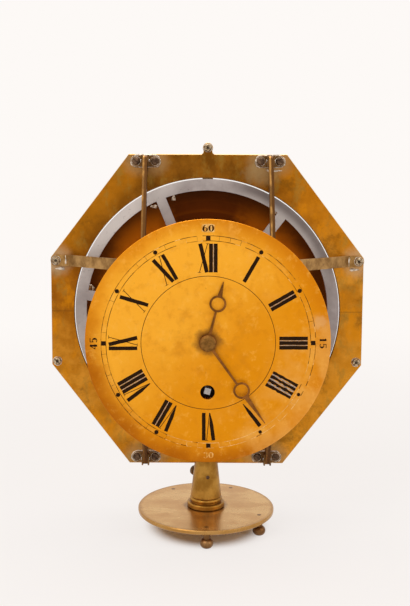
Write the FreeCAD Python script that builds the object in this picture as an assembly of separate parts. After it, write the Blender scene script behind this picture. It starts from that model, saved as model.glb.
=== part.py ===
import FreeCAD, Part
import math
import os

Vector = FreeCAD.Vector

# Double-sided desk clock. Millimetres. X runs to the right of the front dial,
# Y from the front dial to the rear dial, Z up from the table. The column
# stands on the Z axis and the octagonal plate lies across Y = 0.

# Fits: radial gap of a running shaft, of a pressed or screwed shaft, of flat faces.
running_gap = 0.05
seat_gap = 0.02
slide_gap = 0.15

# Base
base_radius = 66.75
base_thickness = 4.0
base_edge = 0.8
foot_height = 15.7
foot_inset = 9.75
foot_ball_radius = 6.2
foot_ball_height = 9.0
foot_neck_radius = 3.2
foot_flat_radius = 2.4
foot_stud_radius = 2.0
foot_angles = (-90.0, -27.0, 62.0, 126.0)

# Column and the swivelling post of the head
column_height = 42.3
column_flange_radius = 18.3
column_flange_height = 5.0
column_bead_radius = 15.8
column_bead_height = 4.2
column_taper_radius = 15.0
column_top_radius = 11.45
column_bolt_radius = 3.0
column_bolt_head_radius = 5.4
column_bolt_head_height = 3.6
column_bolt_depth = 8.0
post_radius = 6.0
post_floor = 4.3
post_groove_radius = 4.4
post_groove_width = 9.0
clamp_drop = 12.6
saddle_web = 1.0
saddle_height = 20.0
saddle_flat = 9.0

# Clamp: thumbscrew, its brass pad, and the flush screw that keeps the post in
thumb_bearing = 123.5
thumb_radius = 2.5
thumb_pad_length = 3.0
thumb_shank_length = 10.6
thumb_head_radius = 4.9
thumb_head_length = 4.2
thumb_flutes = 18
keeper_bearing = -83.0
keeper_radius = 1.8
keeper_rise = 2.4

# Octagonal plate
plate_half_width = 150.0
plate_half_height = 150.0
plate_half_top = 75.0
plate_half_side = 52.0
plate_thickness = 4.0
plate_margin = 22.0
plate_edge = 0.4
ear_rise = 6.1
ear_radius = 4.8
ear_neck = 4.2
ear_fillet = 2.8
corner_inset_x = 5.25
corner_inset_z = 3.0

# Six-spoked ring in the window
ring_gap = 1.1
ring_width = 10.7
spoke_count = 6
spoke_width = 9.5
spoke_turn = 52.5
hub_radius = 48.0
strap_count = 3
strap_width = 10.0
strap_thickness = 2.0
strap_inset = 2.5
strap_lap = 11.0

# Arms that carry the front dial
arm_inset_x = 16.0
arm_thickness = 4.1
arm_width = 10.0
arm_inset_z = 6.6
arm_pin_depth = 6.4
arm_pin_radius = 1.5
upper_arm_inset = 66.0
lower_arm_inset = 57.0
bracket_length = 27.3
bracket_height = 10.4
bracket_sheet = 1.4
bracket_reach = 11.0
bracket_screw_pitch = 18.0
side_arm_height = 10.5
side_arm_sheet = 2.0
side_arm_foot = 10.15
side_arm_inset = 4.36
side_arm_tab = 12.0

# Dials
dial_radius = 110.5
dial_thickness = 1.5
dial_bore = 5.8
winding_hole = 6.6
rear_dial_gap = 2.0
rear_post_inset = 5.35
rear_post_radius = 2.5
rear_post_spigot = 1.5
rear_post_grip = 6.0

# Movement frame
movement_margin = 8.5
movement_drop = 22.0
movement_sheet = 3.0
pillar_length = 33.0
pillar_inset = 7.0
pillar_radius = 3.5
pillar_spigot = 2.0
pillar_grip = 7.0
motion_space = 17.5
rear_bridge_radius = 32.0
rear_pillar_inset = 5.0
rear_pillar_radius = 3.0

# Wheels: teeth, module
pressure_angle = 25.0
tooth_addendum = 0.7
tooth_dedendum = 0.95
tooth_share = 0.92
barrel_teeth = 60
barrel_module = 1.0
pinion_leaves = 12
train_teeth = 60
train_layers = 33
intermediate_module = 0.6
intermediate_hub = 7.0
centre_module = 0.5
third_module = 0.45
reversing_teeth = 41
reversing_module = 0.5
cannon_teeth = 14
minute_teeth = 42
minute_module = 0.6
hour_teeth = 48
escape_teeth = 72
escape_radius = 11.0
ratchet_teeth = 24
ratchet_radius = 10.0

# Bearings of the train, in degrees anticlockwise from the right, seen from the front
third_bearing = 143.0
escape_bearing = 40.0
lever_bearing = 37.0
lever_distance = 13.5
balance_bearing = -26.0
balance_distance = 16.0
front_stud_bearing = 20.0
rear_stud_bearing = 150.0

# Arbors and pipes
centre_radius = 2.5
centre_journal = 2.0
cannon_pipe = 3.2
hour_pipe = 4.6
train_radius = 2.0
train_pivot = 1.5
third_radius = 1.7
third_pivot = 1.0
escape_arbor_radius = 1.5
escape_pivot = 0.9
lever_pivot = 0.8
balance_pivot = 0.7
stud_radius = 1.5
barrel_rim = 3.0
barrel_clearance = 3.25
barrel_wall = 1.5
barrel_length = 20.0
barrel_flange = 2.5
barrel_stand = 6.0
winding_radius = 4.0
winding_core = 5.5
winding_pivot = 3.0
winding_square = 5.6
winding_square_turn = -15.0
winding_recess = 2.6
mainspring_turns = 8
mainspring_strip = 0.6
balance_rim = 13.0
balance_rim_width = 2.2
hairspring_turns = 6
hairspring_strip = 0.25
hairspring_outer = 7.6
click_offset_x = 15.5
click_offset_z = 9.0

# Hands, as angles clockwise from twelve
hour_angle = 13.9
minute_angle = 144.5
hour_length = 56.6
hour_ring_at = 36.2
minute_length = 89.0
minute_ring_at = 52.4
hand_ring_outer = 7.5
hand_ring_inner = 5.7
hand_root = 2.6
hand_rod = 1.9
hand_blade = 4.6
hand_sheet = 1.0
hour_hand_gap = 2.0
minute_hand_gap = 4.6
hour_boss = 8.0
minute_boss = 6.4
hand_nut_radius = 7.4
hand_nut_height = 2.8

# Screws: head radius, head height, shank radius
small_screw = (2.6, 1.6, 1.5)
bracket_screw = (3.3, 1.8, 1.5)
corner_screw = (3.4, 2.0, 1.9)
saddle_screw = (3.4, 2.4, 2.0)

# Sizes that follow from those above
foot_circle = base_radius - foot_inset
post_length = column_height - column_bolt_depth - post_floor
plate_window = min(plate_half_width, plate_half_height) - plate_margin
corner_x = plate_half_width - corner_inset_x
corner_z = plate_half_side - corner_inset_z
ring_outer = plate_window - ring_gap
ring_inner = ring_outer - ring_width
strap_inner = ring_inner + strap_inset
strap_outer = plate_window + strap_lap
arm_x = plate_half_top - arm_inset_x
arm_foot_z = plate_half_height - arm_inset_z
upper_arm_end = dial_radius - upper_arm_inset
lower_arm_end = dial_radius - lower_arm_inset
side_arm_bend = corner_x - side_arm_foot
rear_dial_radius = plate_window - rear_dial_gap
rear_post_circle = ring_inner + rear_post_inset
rear_pillar_circle = rear_bridge_radius - rear_pillar_inset
barrel_tip = barrel_module * (barrel_teeth / 2 + tooth_addendum)
centre_tip = centre_module * (train_teeth / 2 + tooth_addendum)
barrel_radius = barrel_module * barrel_teeth / 2 - barrel_rim
winding_drop = barrel_radius + barrel_clearance + centre_tip
movement_radius = winding_drop - movement_drop + barrel_tip + movement_margin
pillar_circle = movement_radius - pillar_inset

# Levels
base_top = foot_height + base_thickness
column_top = base_top + column_height
plate_bottom = column_top + saddle_web
plate_z = plate_bottom + plate_half_height
plate_front = -plate_thickness / 2
plate_rear = plate_thickness / 2
axis_drop = reversing_teeth * reversing_module
front_z = plate_z - axis_drop
movement_z = front_z - movement_drop
barrel_z = front_z - winding_drop
back_inner = plate_front - movement_sheet
front_inner = back_inner - pillar_length
front_outer = front_inner - movement_sheet
dial_back = front_outer - motion_space
dial_front = dial_back - dial_thickness
rear_inner = -dial_back
rear_face = -dial_front
bridge_rear = rear_inner - motion_space
bridge_front = bridge_rear - movement_sheet
clamp_z = column_top - clamp_drop
FORWARD = Vector(0, -1, 0)
BACKWARD = Vector(0, 1, 0)
UP = Vector(0, 0, 1)
RIGHT = Vector(1, 0, 0)


def polar(x, z, radius, bearing):
    """Point at a distance and bearing from another, seen from the front."""
    turn = math.radians(bearing)
    return x + radius * math.cos(turn), z + radius * math.sin(turn)


def drum(x, z, radius, y0, y1):
    """Cylinder along Y between two depths."""
    return Part.makeCylinder(radius, abs(y1 - y0), Vector(x, min(y0, y1), z), BACKWARD)


def tube(x, z, outer, inner, y0, y1):
    """Round tube along Y."""
    return drum(x, z, outer, y0, y1).cut(drum(x, z, inner, y0, y1))


def block(x0, x1, y0, y1, z0, z1):
    """Box between two corners."""
    return Part.makeBox(x1 - x0, y1 - y0, z1 - z0, Vector(x0, y0, z0))


def prism(corners, travel):
    """Flat outline through the given corners, drawn out along a vector."""
    return Part.Face(Part.makePolygon(corners + corners[:1])).extrude(travel)


def slab(points, y0, y1):
    """Sheet piece: an outline in X and Z, with its thickness along Y."""
    low = min(y0, y1)
    return prism([Vector(x, low, z) for x, z in points], Vector(0, abs(y1 - y0), 0))


def bar(start, end, width, y0, y1):
    """Straight strip of even width between two points in X and Z."""
    reach = math.hypot(end[0] - start[0], end[1] - start[1])
    side = ((start[1] - end[1]) / reach * width / 2, (end[0] - start[0]) / reach * width / 2)
    corners = [
        (start[0] + side[0], start[1] + side[1]),
        (start[0] - side[0], start[1] - side[1]),
        (end[0] - side[0], end[1] - side[1]),
        (end[0] + side[0], end[1] + side[1]),
    ]
    return slab(corners, y0, y1)


def join(shapes):
    """One solid from touching or crossing shapes."""
    return shapes[0].multiFuse(shapes[1:]).removeSplitter()


def placed(shape, point, axis):
    """Shape drawn along Z, moved to a point and turned to an axis."""
    shape.Placement = FreeCAD.Placement(point, FreeCAD.Rotation(UP, axis))
    return shape


def turned(profile, point, axis):
    """Lathe-turned solid. Each step is (radius, distance), or an arc through
    a middle point: (middle radius, middle distance, radius, distance)."""
    here = Vector(profile[0][-2], 0, profile[0][-1])
    edges = []
    for step in profile[1:] + profile[:1]:
        there = Vector(step[-2], 0, step[-1])
        if len(step) == 4:
            middle = Vector(step[0], 0, step[1])
            edges.append(Part.Arc(here, middle, there).toShape())
        elif here.distanceToPoint(there) > 1e-6:
            edges.append(Part.makeLine(here, there))
        here = there
    solid = Part.Face(Part.Wire(edges)).revolve(Vector(0, 0, 0), UP, 360)
    return placed(solid, point, axis)


def screw(point, axis, kind, length):
    """Slotted cheese-head screw: the point lies under its head, the axis runs into the work."""
    head, height, shank = kind
    rim = height * 0.25
    profile = [
        (0, -height),
        (head - rim, -height),
        (head, rim - height),
        (head, 0),
        (shank, 0),
        (shank, length),
        (0, length),
    ]
    body = turned(profile, point, axis)
    slot = Part.makeBox(2.2 * head, head * 0.26, height * 0.45, Vector(-1.1 * head, -head * 0.13, -height))
    turn = FreeCAD.Rotation(UP, axis).multiply(FreeCAD.Rotation(UP, 37.0))
    slot.Placement = FreeCAD.Placement(point, turn)
    return body.cut(slot)


def hole(point, axis, radius, length):
    """Round cutter from a point along an axis."""
    return Part.makeCylinder(radius, length, point, axis)


def screw_hole(point, axis, kind, length):
    """Cutter for the shank of a screw."""
    return hole(point - axis * 1.0, axis, kind[2] + seat_gap, length + 1.0 + slide_gap)


def tooth_outline(x, z, teeth, module, phase):
    """Involute teeth; the phase is the bearing of the middle of one tooth."""
    pitch = module * teeth / 2
    base = pitch * math.cos(math.radians(pressure_angle))
    root = pitch - tooth_dedendum * module
    radii = [root, max(base, root), pitch, pitch + tooth_addendum * module]
    at_pitch = math.radians(pressure_angle)
    involute = math.tan(at_pitch) - at_pitch
    flank = []
    for radius in radii:
        slope = math.acos(min(1.0, base / radius))
        half = tooth_share * math.pi / (2 * teeth) + involute - (math.tan(slope) - slope)
        if not flank or radius - flank[-1][0] > 1e-6:
            flank.append((radius, math.degrees(half)))
    points = []
    for k in range(teeth):
        middle = phase + 360.0 * k / teeth
        points += [polar(x, z, radius, middle - half) for radius, half in flank]
        points += [polar(x, z, radius, middle + half) for radius, half in reversed(flank)]
    return points


def gear(at, teeth, module, phase, y0, y1):
    """Toothed disc about a point in X and Z."""
    return slab(tooth_outline(at[0], at[1], teeth, module, phase), y0, y1)


def crossed(wheel, at, rim, hub, spokes, width, y0, y1):
    """Wheel with windows cut between its rim and its hub, leaving spokes."""
    window = tube(at[0], at[1], rim, hub, y0, y1)
    for k in range(spokes):
        end = polar(at[0], at[1], rim + 1, 90.0 + 360.0 * k / spokes)
        window = window.cut(bar(at, end, width, y0, y1))
    return wheel.cut(window)


def meshed(driver, driver_teeth, driver_phase, at, teeth):
    """Phase that puts a wheel's tooth spaces on the teeth of the wheel it meets."""
    bearing = math.degrees(math.atan2(at[1] - driver[1], at[0] - driver[0]))
    along = (bearing - driver_phase) * driver_teeth / 360.0
    return bearing + 180.0 - (0.5 - along) * 360.0 / teeth


def meeting(first, first_reach, second, second_reach):
    """Point at given distances from two others, on the right-hand side."""
    dx = second[0] - first[0]
    dz = second[1] - first[1]
    span = math.hypot(dx, dz)
    along = (span**2 + first_reach**2 - second_reach**2) / (2 * span)
    off = math.sqrt(first_reach**2 - along**2)
    return first[0] + (along * dx - off * dz) / span, first[1] + (along * dz + off * dx) / span


def arbor(at, steps):
    """Turned arbor along Y from (radius, depth where it ends) steps, the first giving its start."""
    profile = [(0, steps[0][1])]
    for (radius, start), (_, end) in zip(steps, steps[1:]):
        profile += [(radius, start), (radius, end)]
    profile.append((0, steps[-1][1]))
    return turned(profile, Vector(at[0], 0, at[1]), BACKWARD)


def spiral(at, inner, pitch, turns, strip, y0, y1):
    """Flat coiled strip of half-turn arcs about two centres."""
    step = pitch / 2
    centres = (at[0], at[0] + step)
    edges = []
    for offset in (0.0, strip):
        radius = inner + offset
        for k in range(2 * turns):
            centre = centres[k % 2]
            sign = 1 if k % 2 == 0 else -1
            start = Vector(centre + sign * radius, y0, at[1])
            middle = Vector(centre, y0, at[1] + sign * radius)
            end = Vector(centre - sign * radius, y0, at[1])
            edges.append(Part.Arc(start, middle, end).toShape())
            radius += step
    count = 2 * turns
    ends = [
        Part.makeLine(edges[0].Vertexes[0].Point, edges[count].Vertexes[0].Point),
        Part.makeLine(edges[count - 1].Vertexes[-1].Point, edges[-1].Vertexes[-1].Point),
    ]
    wire = Part.Wire(Part.__sortEdges__(edges + ends))
    return Part.Face(wire).extrude(Vector(0, y1 - y0, 0))


nodes = {}

# Base disc on four ball feet, their studs riveted flush through the disc
foot_points = [polar(0, 0, foot_circle, bearing) for bearing in foot_angles]
foot_profile = [
    (0, 0),
    (foot_flat_radius, 0),
    (foot_ball_radius, foot_ball_height * 0.48, foot_neck_radius, foot_ball_height),
    (foot_neck_radius * 1.15, foot_height),
    (foot_stud_radius, foot_height),
    (foot_stud_radius, base_top),
    (0, base_top),
]
feet = [turned(foot_profile, Vector(x, y, 0), UP) for x, y in foot_points]
nodes["ball_feet"] = Part.makeCompound(feet)
base_profile = [
    (0, foot_height),
    (base_radius - base_edge, foot_height),
    (base_radius, foot_height + base_edge),
    (base_radius, base_top - base_edge),
    (base_radius - base_edge, base_top),
    (0, base_top),
]
base_disc = turned(base_profile, Vector(0, 0, 0), UP)
for x, y in foot_points:
    base_disc = base_disc.cut(hole(Vector(x, y, 0), UP, foot_stud_radius + seat_gap, base_top + 1))
bolt_reach = base_top + column_bolt_depth + slide_gap
bolt_cutter = hole(Vector(0, 0, 0), UP, column_bolt_radius + seat_gap, bolt_reach)
nodes["base_disc"] = base_disc.cut(bolt_cutter)
bolt_kind = (column_bolt_head_radius, column_bolt_head_height, column_bolt_radius)
nodes["column_bolt"] = screw(Vector(0, 0, foot_height), UP, bolt_kind, base_thickness + column_bolt_depth)

# Tapered column, bored for the post and drilled for its clamp and keeper screws
bead_foot = column_flange_height + 0.7
bead_top = bead_foot + column_bead_height
flange_top = (column_flange_radius - 1.4, column_flange_height)
column_profile = [
    (0, 0),
    (column_flange_radius - 0.8, 0),
    (column_flange_radius, 0.8),
    (column_flange_radius, column_flange_height - 1.4),
    (column_flange_radius - 0.4, column_flange_height - 0.4, *flange_top),
    (column_taper_radius - 0.9, column_flange_height),
    (column_taper_radius - 0.9, bead_foot),
    (column_bead_radius, bead_foot + column_bead_height / 2, column_taper_radius - 0.9, bead_top),
    (column_taper_radius, bead_top + 0.6),
    (column_top_radius, column_height),
    (0, column_height),
]


def bearing_axis(bearing):
    """Level direction out from the column."""
    x, y = polar(0, 0, 1.0, bearing)
    return Vector(x, y, 0)


def column_radius(height):
    """Radius of the taper at a height above the table."""
    foot = base_top + bead_top + 0.6
    share = (height - foot) / (column_top - foot)
    return column_taper_radius + share * (column_top_radius - column_taper_radius)


column = turned(column_profile, Vector(0, 0, base_top), UP)
post_foot = column_top - post_length
column = column.cut(hole(Vector(0, 0, post_foot - 1.0), UP, post_radius + running_gap, post_length + 2))
column = column.cut(bolt_cutter)
thumb_axis = bearing_axis(thumb_bearing)
clamp_level = Vector(0, 0, clamp_z)
column = column.cut(hole(clamp_level, thumb_axis, thumb_radius + running_gap, 2 * column_top_radius))
keeper_axis = bearing_axis(keeper_bearing)
keeper_z = clamp_z + keeper_rise
keeper_level = Vector(0, 0, keeper_z)
keeper_cutter = hole(keeper_level, keeper_axis, keeper_radius + seat_gap, 2 * column_top_radius)
nodes["column"] = column.cut(keeper_cutter)
keeper_tip = post_groove_radius + 4 * slide_gap
keeper_face = column_radius(keeper_z) - 0.2
keeper_length = keeper_face - keeper_tip
keeper = hole(keeper_axis * keeper_tip + keeper_level, keeper_axis, keeper_radius, keeper_length)
keeper_slot = Part.makeBox(0.6, 4 * keeper_radius, 0.9, Vector(-0.3, -2 * keeper_radius, -0.6))
placed(keeper_slot, keeper_axis * keeper_face + keeper_level, keeper_axis)
nodes["keeper_screw"] = keeper.cut(keeper_slot)

# Clamp pad and fluted thumbscrew, in line through the column wall
pad_start = post_groove_radius + seat_gap
pad_end = pad_start + thumb_pad_length
nodes["clamp_pad"] = hole(thumb_axis * pad_start + clamp_level, thumb_axis, thumb_radius, thumb_pad_length)
thumb_start = pad_end + seat_gap
thumb_neck = thumb_start + thumb_shank_length
thumb_profile = [
    (0, thumb_start),
    (thumb_radius, thumb_start),
    (thumb_radius, thumb_neck),
    (thumb_head_radius - 0.7, thumb_neck),
    (thumb_head_radius, thumb_neck + 0.7),
    (thumb_head_radius, thumb_neck + thumb_head_length - 0.7),
    (thumb_head_radius - 0.7, thumb_neck + thumb_head_length),
    (0, thumb_neck + thumb_head_length),
]
thumbscrew = turned(thumb_profile, clamp_level, thumb_axis)
for k in range(thumb_flutes):
    x, y = polar(0, 0, thumb_head_radius + 0.25, 360.0 * k / thumb_flutes)
    flute = Part.makeCylinder(0.6, thumb_head_length + 2, Vector(x, y, thumb_neck - 1))
    thumbscrew = thumbscrew.cut(placed(flute, clamp_level, thumb_axis))
nodes["thumbscrew"] = thumbscrew

# Post of the head: it turns in the column, and its saddle straddles the plate's lower edge
groove_top = -clamp_drop + post_groove_width / 2
groove_foot = -clamp_drop - post_groove_width / 2
saddle_top = saddle_web + saddle_height
post_profile = [
    (0, -post_length),
    (post_radius - 0.6, -post_length),
    (post_radius, 0.6 - post_length),
    (post_radius, groove_foot),
    (post_groove_radius, groove_foot),
    (post_groove_radius, groove_top),
    (post_radius, groove_top),
    (post_radius, 0),
    (column_top_radius, 0),
    (column_top_radius, saddle_top - 1.2),
    (column_top_radius - 1.2, saddle_top),
    (0, saddle_top),
]
post = turned(post_profile, Vector(0, 0, column_top), UP)
slot_side = plate_thickness / 2 + seat_gap
post = post.cut(block(-base_radius, base_radius, -slot_side, slot_side, plate_bottom, plate_z))
post = post.cut(block(-base_radius, base_radius, saddle_flat, base_radius, plate_bottom, plate_z))
saddle_length = saddle_flat + column_top_radius * 0.55
saddle_points = [Vector(0, saddle_flat, plate_bottom + saddle_height * share) for share in (0.3, 0.72)]
for point in saddle_points:
    post = post.cut(screw_hole(point, FORWARD, saddle_screw, saddle_length))
nodes["swivel_post"] = post
screws = [screw(point, FORWARD, saddle_screw, saddle_length) for point in saddle_points]
nodes["saddle_screws"] = Part.makeCompound(screws)

# Octagonal plate with its window and the ear at the top
corners = [
    (plate_half_top, plate_half_height),
    (plate_half_width, plate_half_side),
    (plate_half_width, -plate_half_side),
    (plate_half_top, -plate_half_height),
    (-plate_half_top, -plate_half_height),
    (-plate_half_width, -plate_half_side),
    (-plate_half_width, plate_half_side),
    (-plate_half_top, plate_half_height),
]
plate = slab([(x, plate_z + z) for x, z in corners], plate_front, plate_rear)
plate_top = plate_z + plate_half_height
ear_z = plate_top + ear_rise
ear_root = ear_neck + ear_fillet
flare_z = plate_top + ear_fillet
ear = [
    drum(0, ear_z, ear_radius, plate_front, plate_rear),
    block(-ear_neck, ear_neck, plate_front, plate_rear, plate_top - 1.0, ear_z),
]
flare = block(-ear_root, ear_root, plate_front, plate_rear, plate_top - 1.0, flare_z)
for side in (-1, 1):
    flare = flare.cut(drum(side * ear_root, flare_z, ear_fillet, plate_front, plate_rear))
plate = join([plate, flare] + ear)
plate = plate.cut(drum(0, plate_z, plate_window, plate_front, plate_rear))
rims = [edge for face in plate.Faces if abs(face.normalAt(0, 0).y) > 0.99 for edge in face.Edges]
plate = plate.makeChamfer(plate_edge, rims)

quarters = [(-1, -1), (-1, 1), (1, -1), (1, 1)]
corner_points = [(0, ear_z)] + [(sx * corner_x, plate_z + sz * corner_z) for sx, sz in quarters]
bracket_points = [(sx * arm_x, plate_z + sz * arm_foot_z) for sx, sz in quarters]
lug_points = [(x + side * bracket_screw_pitch / 2, z) for x, z in bracket_points for side in (-1, 1)]
for x, z in corner_points:
    plate = plate.cut(drum(x, z, corner_screw[2] + seat_gap, plate_front - 1, plate_rear + 1))
for x, z in lug_points:
    plate = plate.cut(drum(x, z, bracket_screw[2] + seat_gap, plate_front - 1, plate_rear + 1))
for point in saddle_points:
    plate = plate.cut(screw_hole(point, FORWARD, saddle_screw, saddle_length))

# Six-spoked ring with its hub disc, held in the window by three straps behind
ring = tube(0, plate_z, ring_outer, ring_inner, plate_front, plate_rear)
spokes = []
for k in range(spoke_count):
    end = polar(0, plate_z, ring_inner + 2.0, spoke_turn + 360.0 * k / spoke_count)
    spokes.append(bar((0, plate_z), end, spoke_width, plate_front, plate_rear))
ring = join([ring, drum(0, plate_z, hub_radius, plate_front, plate_rear)] + spokes)
strap_middle = (strap_inner + strap_outer) / 2
ring_hold = (strap_inner + ring_outer) / 2
plate_hold = (plate_window + strap_outer) / 2
strap_rear = plate_rear + strap_thickness
strap_length = strap_thickness + plate_thickness * 0.75
straps = []
frame_screws = []
for k in range(strap_count):
    bearing = 90.0 + 360.0 * k / strap_count
    ends = [polar(0, plate_z, reach, bearing) for reach in (strap_inner, strap_outer)]
    strap = bar(ends[0], ends[1], strap_width, plate_rear, strap_rear)
    for reach in (ring_hold, plate_hold):
        x, z = polar(0, plate_z, reach, bearing)
        point = Vector(x, strap_rear, z)
        cutter = screw_hole(point, FORWARD, small_screw, strap_length)
        strap = strap.cut(cutter)
        ring = ring.cut(cutter)
        plate = plate.cut(cutter)
        frame_screws.append(screw(point, FORWARD, small_screw, strap_length))
    straps.append(strap)
nodes["ring_straps"] = Part.makeCompound(straps)
nodes["octagon_plate"] = plate

# Brackets on the plate: a strip with round ends and two cheeks that hold an arm on edge
strip_front = plate_front - bracket_sheet
cheek_front = strip_front - bracket_reach
cheek_inner = arm_thickness / 2 + slide_gap
cheek_outer = cheek_inner + bracket_sheet
pin_y = strip_front - arm_pin_depth
half_straight = (bracket_length - bracket_height) / 2
brackets = []
for x, z in bracket_points:
    ends = [(x - half_straight, z), (x + half_straight, z)]
    strip = [bar(ends[0], ends[1], bracket_height, strip_front, plate_front)]
    strip += [drum(ex, ez, bracket_height / 2, strip_front, plate_front) for ex, ez in ends]
    low = z - bracket_height / 2
    high = z + bracket_height / 2
    strip.append(block(x - cheek_outer, x - cheek_inner, cheek_front, plate_front, low, high))
    strip.append(block(x + cheek_inner, x + cheek_outer, cheek_front, plate_front, low, high))
    bracket = join(strip)
    pin_start = Vector(x - cheek_outer - 1, pin_y, z)
    bracket = bracket.cut(hole(pin_start, RIGHT, arm_pin_radius + seat_gap, 2 * cheek_outer + 2))
    for side in (-1, 1):
        centre = x + side * bracket_screw_pitch / 2
        bracket = bracket.cut(drum(centre, z, bracket_screw[2] + seat_gap, strip_front - 1, plate_rear))
    brackets.append(bracket)
nodes["arm_brackets"] = Part.makeCompound(brackets)
bracket_screw_length = bracket_sheet + plate_thickness
lug_seats = [Vector(x, strip_front, z) for x, z in lug_points]
screws = [screw(seat, BACKWARD, bracket_screw, bracket_screw_length) for seat in lug_seats]
nodes["bracket_screws"] = Part.makeCompound(screws)

# Edge-on arms from the brackets to the back of the front dial, each on a pin
edge_arms = []
pins = []
for x, z in bracket_points:
    side = 1 if z > plate_z else -1
    end_z = front_z + side * (upper_arm_end if side > 0 else lower_arm_end)
    start = (pin_y, z)
    run = (dial_back - pin_y, end_z - z)
    reach = math.hypot(run[0], run[1])
    half = (-run[1] / reach * arm_width / 2, run[0] / reach * arm_width / 2)
    slope = run[1] / run[0]
    arm_corners = [
        (start[0] + half[0], start[1] + half[1]),
        (start[0] - half[0], start[1] - half[1]),
        (dial_back, start[1] - half[1] + slope * (dial_back - start[0] + half[0])),
        (dial_back, start[1] + half[1] + slope * (dial_back - start[0] - half[0])),
    ]
    left = x - arm_thickness / 2
    arm = prism([Vector(left, y, h) for y, h in arm_corners], RIGHT * arm_thickness)
    knuckle = hole(Vector(left, pin_y, z), RIGHT, arm_width / 2, arm_thickness)
    pin_hole = hole(Vector(left - 1, pin_y, z), RIGHT, arm_pin_radius + seat_gap, arm_thickness + 2)
    edge_arms.append(join([arm, knuckle]).cut(pin_hole))
    pin_start = Vector(x - cheek_outer - 0.6, pin_y, z)
    pins.append(hole(pin_start, RIGHT, arm_pin_radius, 2 * cheek_outer + 1.2))
nodes["edge_arms"] = Part.makeCompound(edge_arms)
nodes["arm_pins"] = Part.makeCompound(pins)

# Side arms: strips screwed flat at the corners, bent inward to a tab behind the dial
side_arms = []
side_low = plate_z + corner_z - side_arm_height / 2
knee = math.sqrt(dial_radius**2 - (axis_drop + corner_z) ** 2) - side_arm_inset
side_turn = math.atan2(plate_front - side_arm_sheet - dial_back, side_arm_bend - knee)
skin = side_arm_sheet * math.tan(side_turn / 2)
for side in (-1, 1):
    outline = [
        (corner_x, plate_front),
        (side_arm_bend - skin, plate_front),
        (knee - skin, dial_back + side_arm_sheet),
        (knee - side_arm_tab, dial_back + side_arm_sheet),
        (knee - side_arm_tab, dial_back),
        (knee, dial_back),
        (side_arm_bend, plate_front - side_arm_sheet),
        (corner_x, plate_front - side_arm_sheet),
    ]
    corners = [Vector(side * x, y, side_low) for x, y in outline]
    arm = prism(corners, Vector(0, 0, side_arm_height))
    end_x = side * corner_x
    end_z = plate_z + corner_z
    round_end = drum(end_x, end_z, side_arm_height / 2, plate_front - side_arm_sheet, plate_front)
    arm = join([arm, round_end])
    side_arms.append(arm.cut(drum(end_x, end_z, corner_screw[2] + seat_gap, dial_back, plate_front)))
nodes["side_arms"] = Part.makeCompound(side_arms)

# Corner screws and the nuts behind them; the upper pair hold the side arms
corner_screws = []
corner_nuts = []
nut_height = 2.6
for x, z in corner_points:
    on_arm = z > plate_z and abs(x) > 1
    seat = plate_front - (side_arm_sheet if on_arm else 0)
    corner_length = plate_rear - seat + nut_height + 0.8
    corner_screws.append(screw(Vector(x, seat, z), BACKWARD, corner_screw, corner_length))
    nut = slab([polar(x, z, 4.0, 30 + 60 * k) for k in range(6)], plate_rear, plate_rear + nut_height)
    corner_nuts.append(nut.cut(drum(x, z, corner_screw[2] + seat_gap, plate_rear, plate_rear + nut_height)))
nodes["corner_screws"] = Part.makeCompound(corner_screws)
nodes["corner_nuts"] = Part.makeCompound(corner_nuts)

# Front dial and rear dial
dial = drum(0, front_z, dial_radius, dial_front, dial_back)
front_rim = [edge for edge in dial.Edges if abs(edge.BoundBox.YMax - dial_front) < 1e-3]
dial = dial.makeChamfer(0.3, front_rim)
dial = dial.cut(drum(0, front_z, dial_bore, dial_front, dial_back))
nodes["front_dial"] = dial.cut(drum(0, barrel_z, winding_hole, dial_front, dial_back))
rear_dial = drum(0, plate_z, rear_dial_radius, rear_inner, rear_face)
rear_rim = [edge for edge in rear_dial.Edges if abs(edge.BoundBox.YMin - rear_face) < 1e-3]
rear_dial = rear_dial.makeChamfer(0.3, rear_rim)
rear_dial = rear_dial.cut(drum(0, plate_z, dial_bore, rear_inner, rear_face))
posts = []
post_screw_length = dial_thickness + rear_post_grip
for k in range(spoke_count):
    x, z = polar(0, plate_z, rear_post_circle, spoke_turn + 360.0 * k / spoke_count)
    point = Vector(x, rear_face, z)
    cutter = screw_hole(point, FORWARD, small_screw, post_screw_length)
    spigot_end = plate_rear - plate_thickness * 0.6
    rod = drum(x, z, rear_post_radius, plate_rear, rear_inner)
    rod = join([rod, drum(x, z, rear_post_spigot, spigot_end, plate_rear + 1)])
    posts.append(rod.cut(cutter))
    rear_dial = rear_dial.cut(cutter)
    ring = ring.cut(drum(x, z, rear_post_spigot + seat_gap, spigot_end, plate_rear))
    frame_screws.append(screw(point, FORWARD, small_screw, post_screw_length))
nodes["rear_dial"] = rear_dial
nodes["rear_dial_posts"] = Part.makeCompound(posts)

# Places of the arbors, in X and Z
centre_at = (0.0, front_z)
rear_at = (0.0, plate_z)
barrel_at = (0.0, barrel_z)
intermediate_at = meeting(
    barrel_at,
    barrel_module * (barrel_teeth + pinion_leaves) / 2,
    centre_at,
    intermediate_module * (train_teeth + pinion_leaves) / 2,
)
intermediate_at = (abs(intermediate_at[0]), intermediate_at[1])
third_at = polar(0, front_z, centre_module * (train_teeth + pinion_leaves) / 2, third_bearing)
escape_at = polar(third_at[0], third_at[1], third_module * (train_teeth + pinion_leaves) / 2, escape_bearing)
lever_at = polar(escape_at[0], escape_at[1], lever_distance, lever_bearing)
balance_at = polar(lever_at[0], lever_at[1], balance_distance, balance_bearing)
motion_reach = minute_module * (cannon_teeth + minute_teeth) / 2
hour_module = 2 * motion_reach / (pinion_leaves + hour_teeth)
front_stud_at = polar(0, front_z, motion_reach, front_stud_bearing)
rear_stud_at = polar(0, plate_z, motion_reach, rear_stud_bearing)
click_at = (click_offset_x, barrel_z + click_offset_z)


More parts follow.
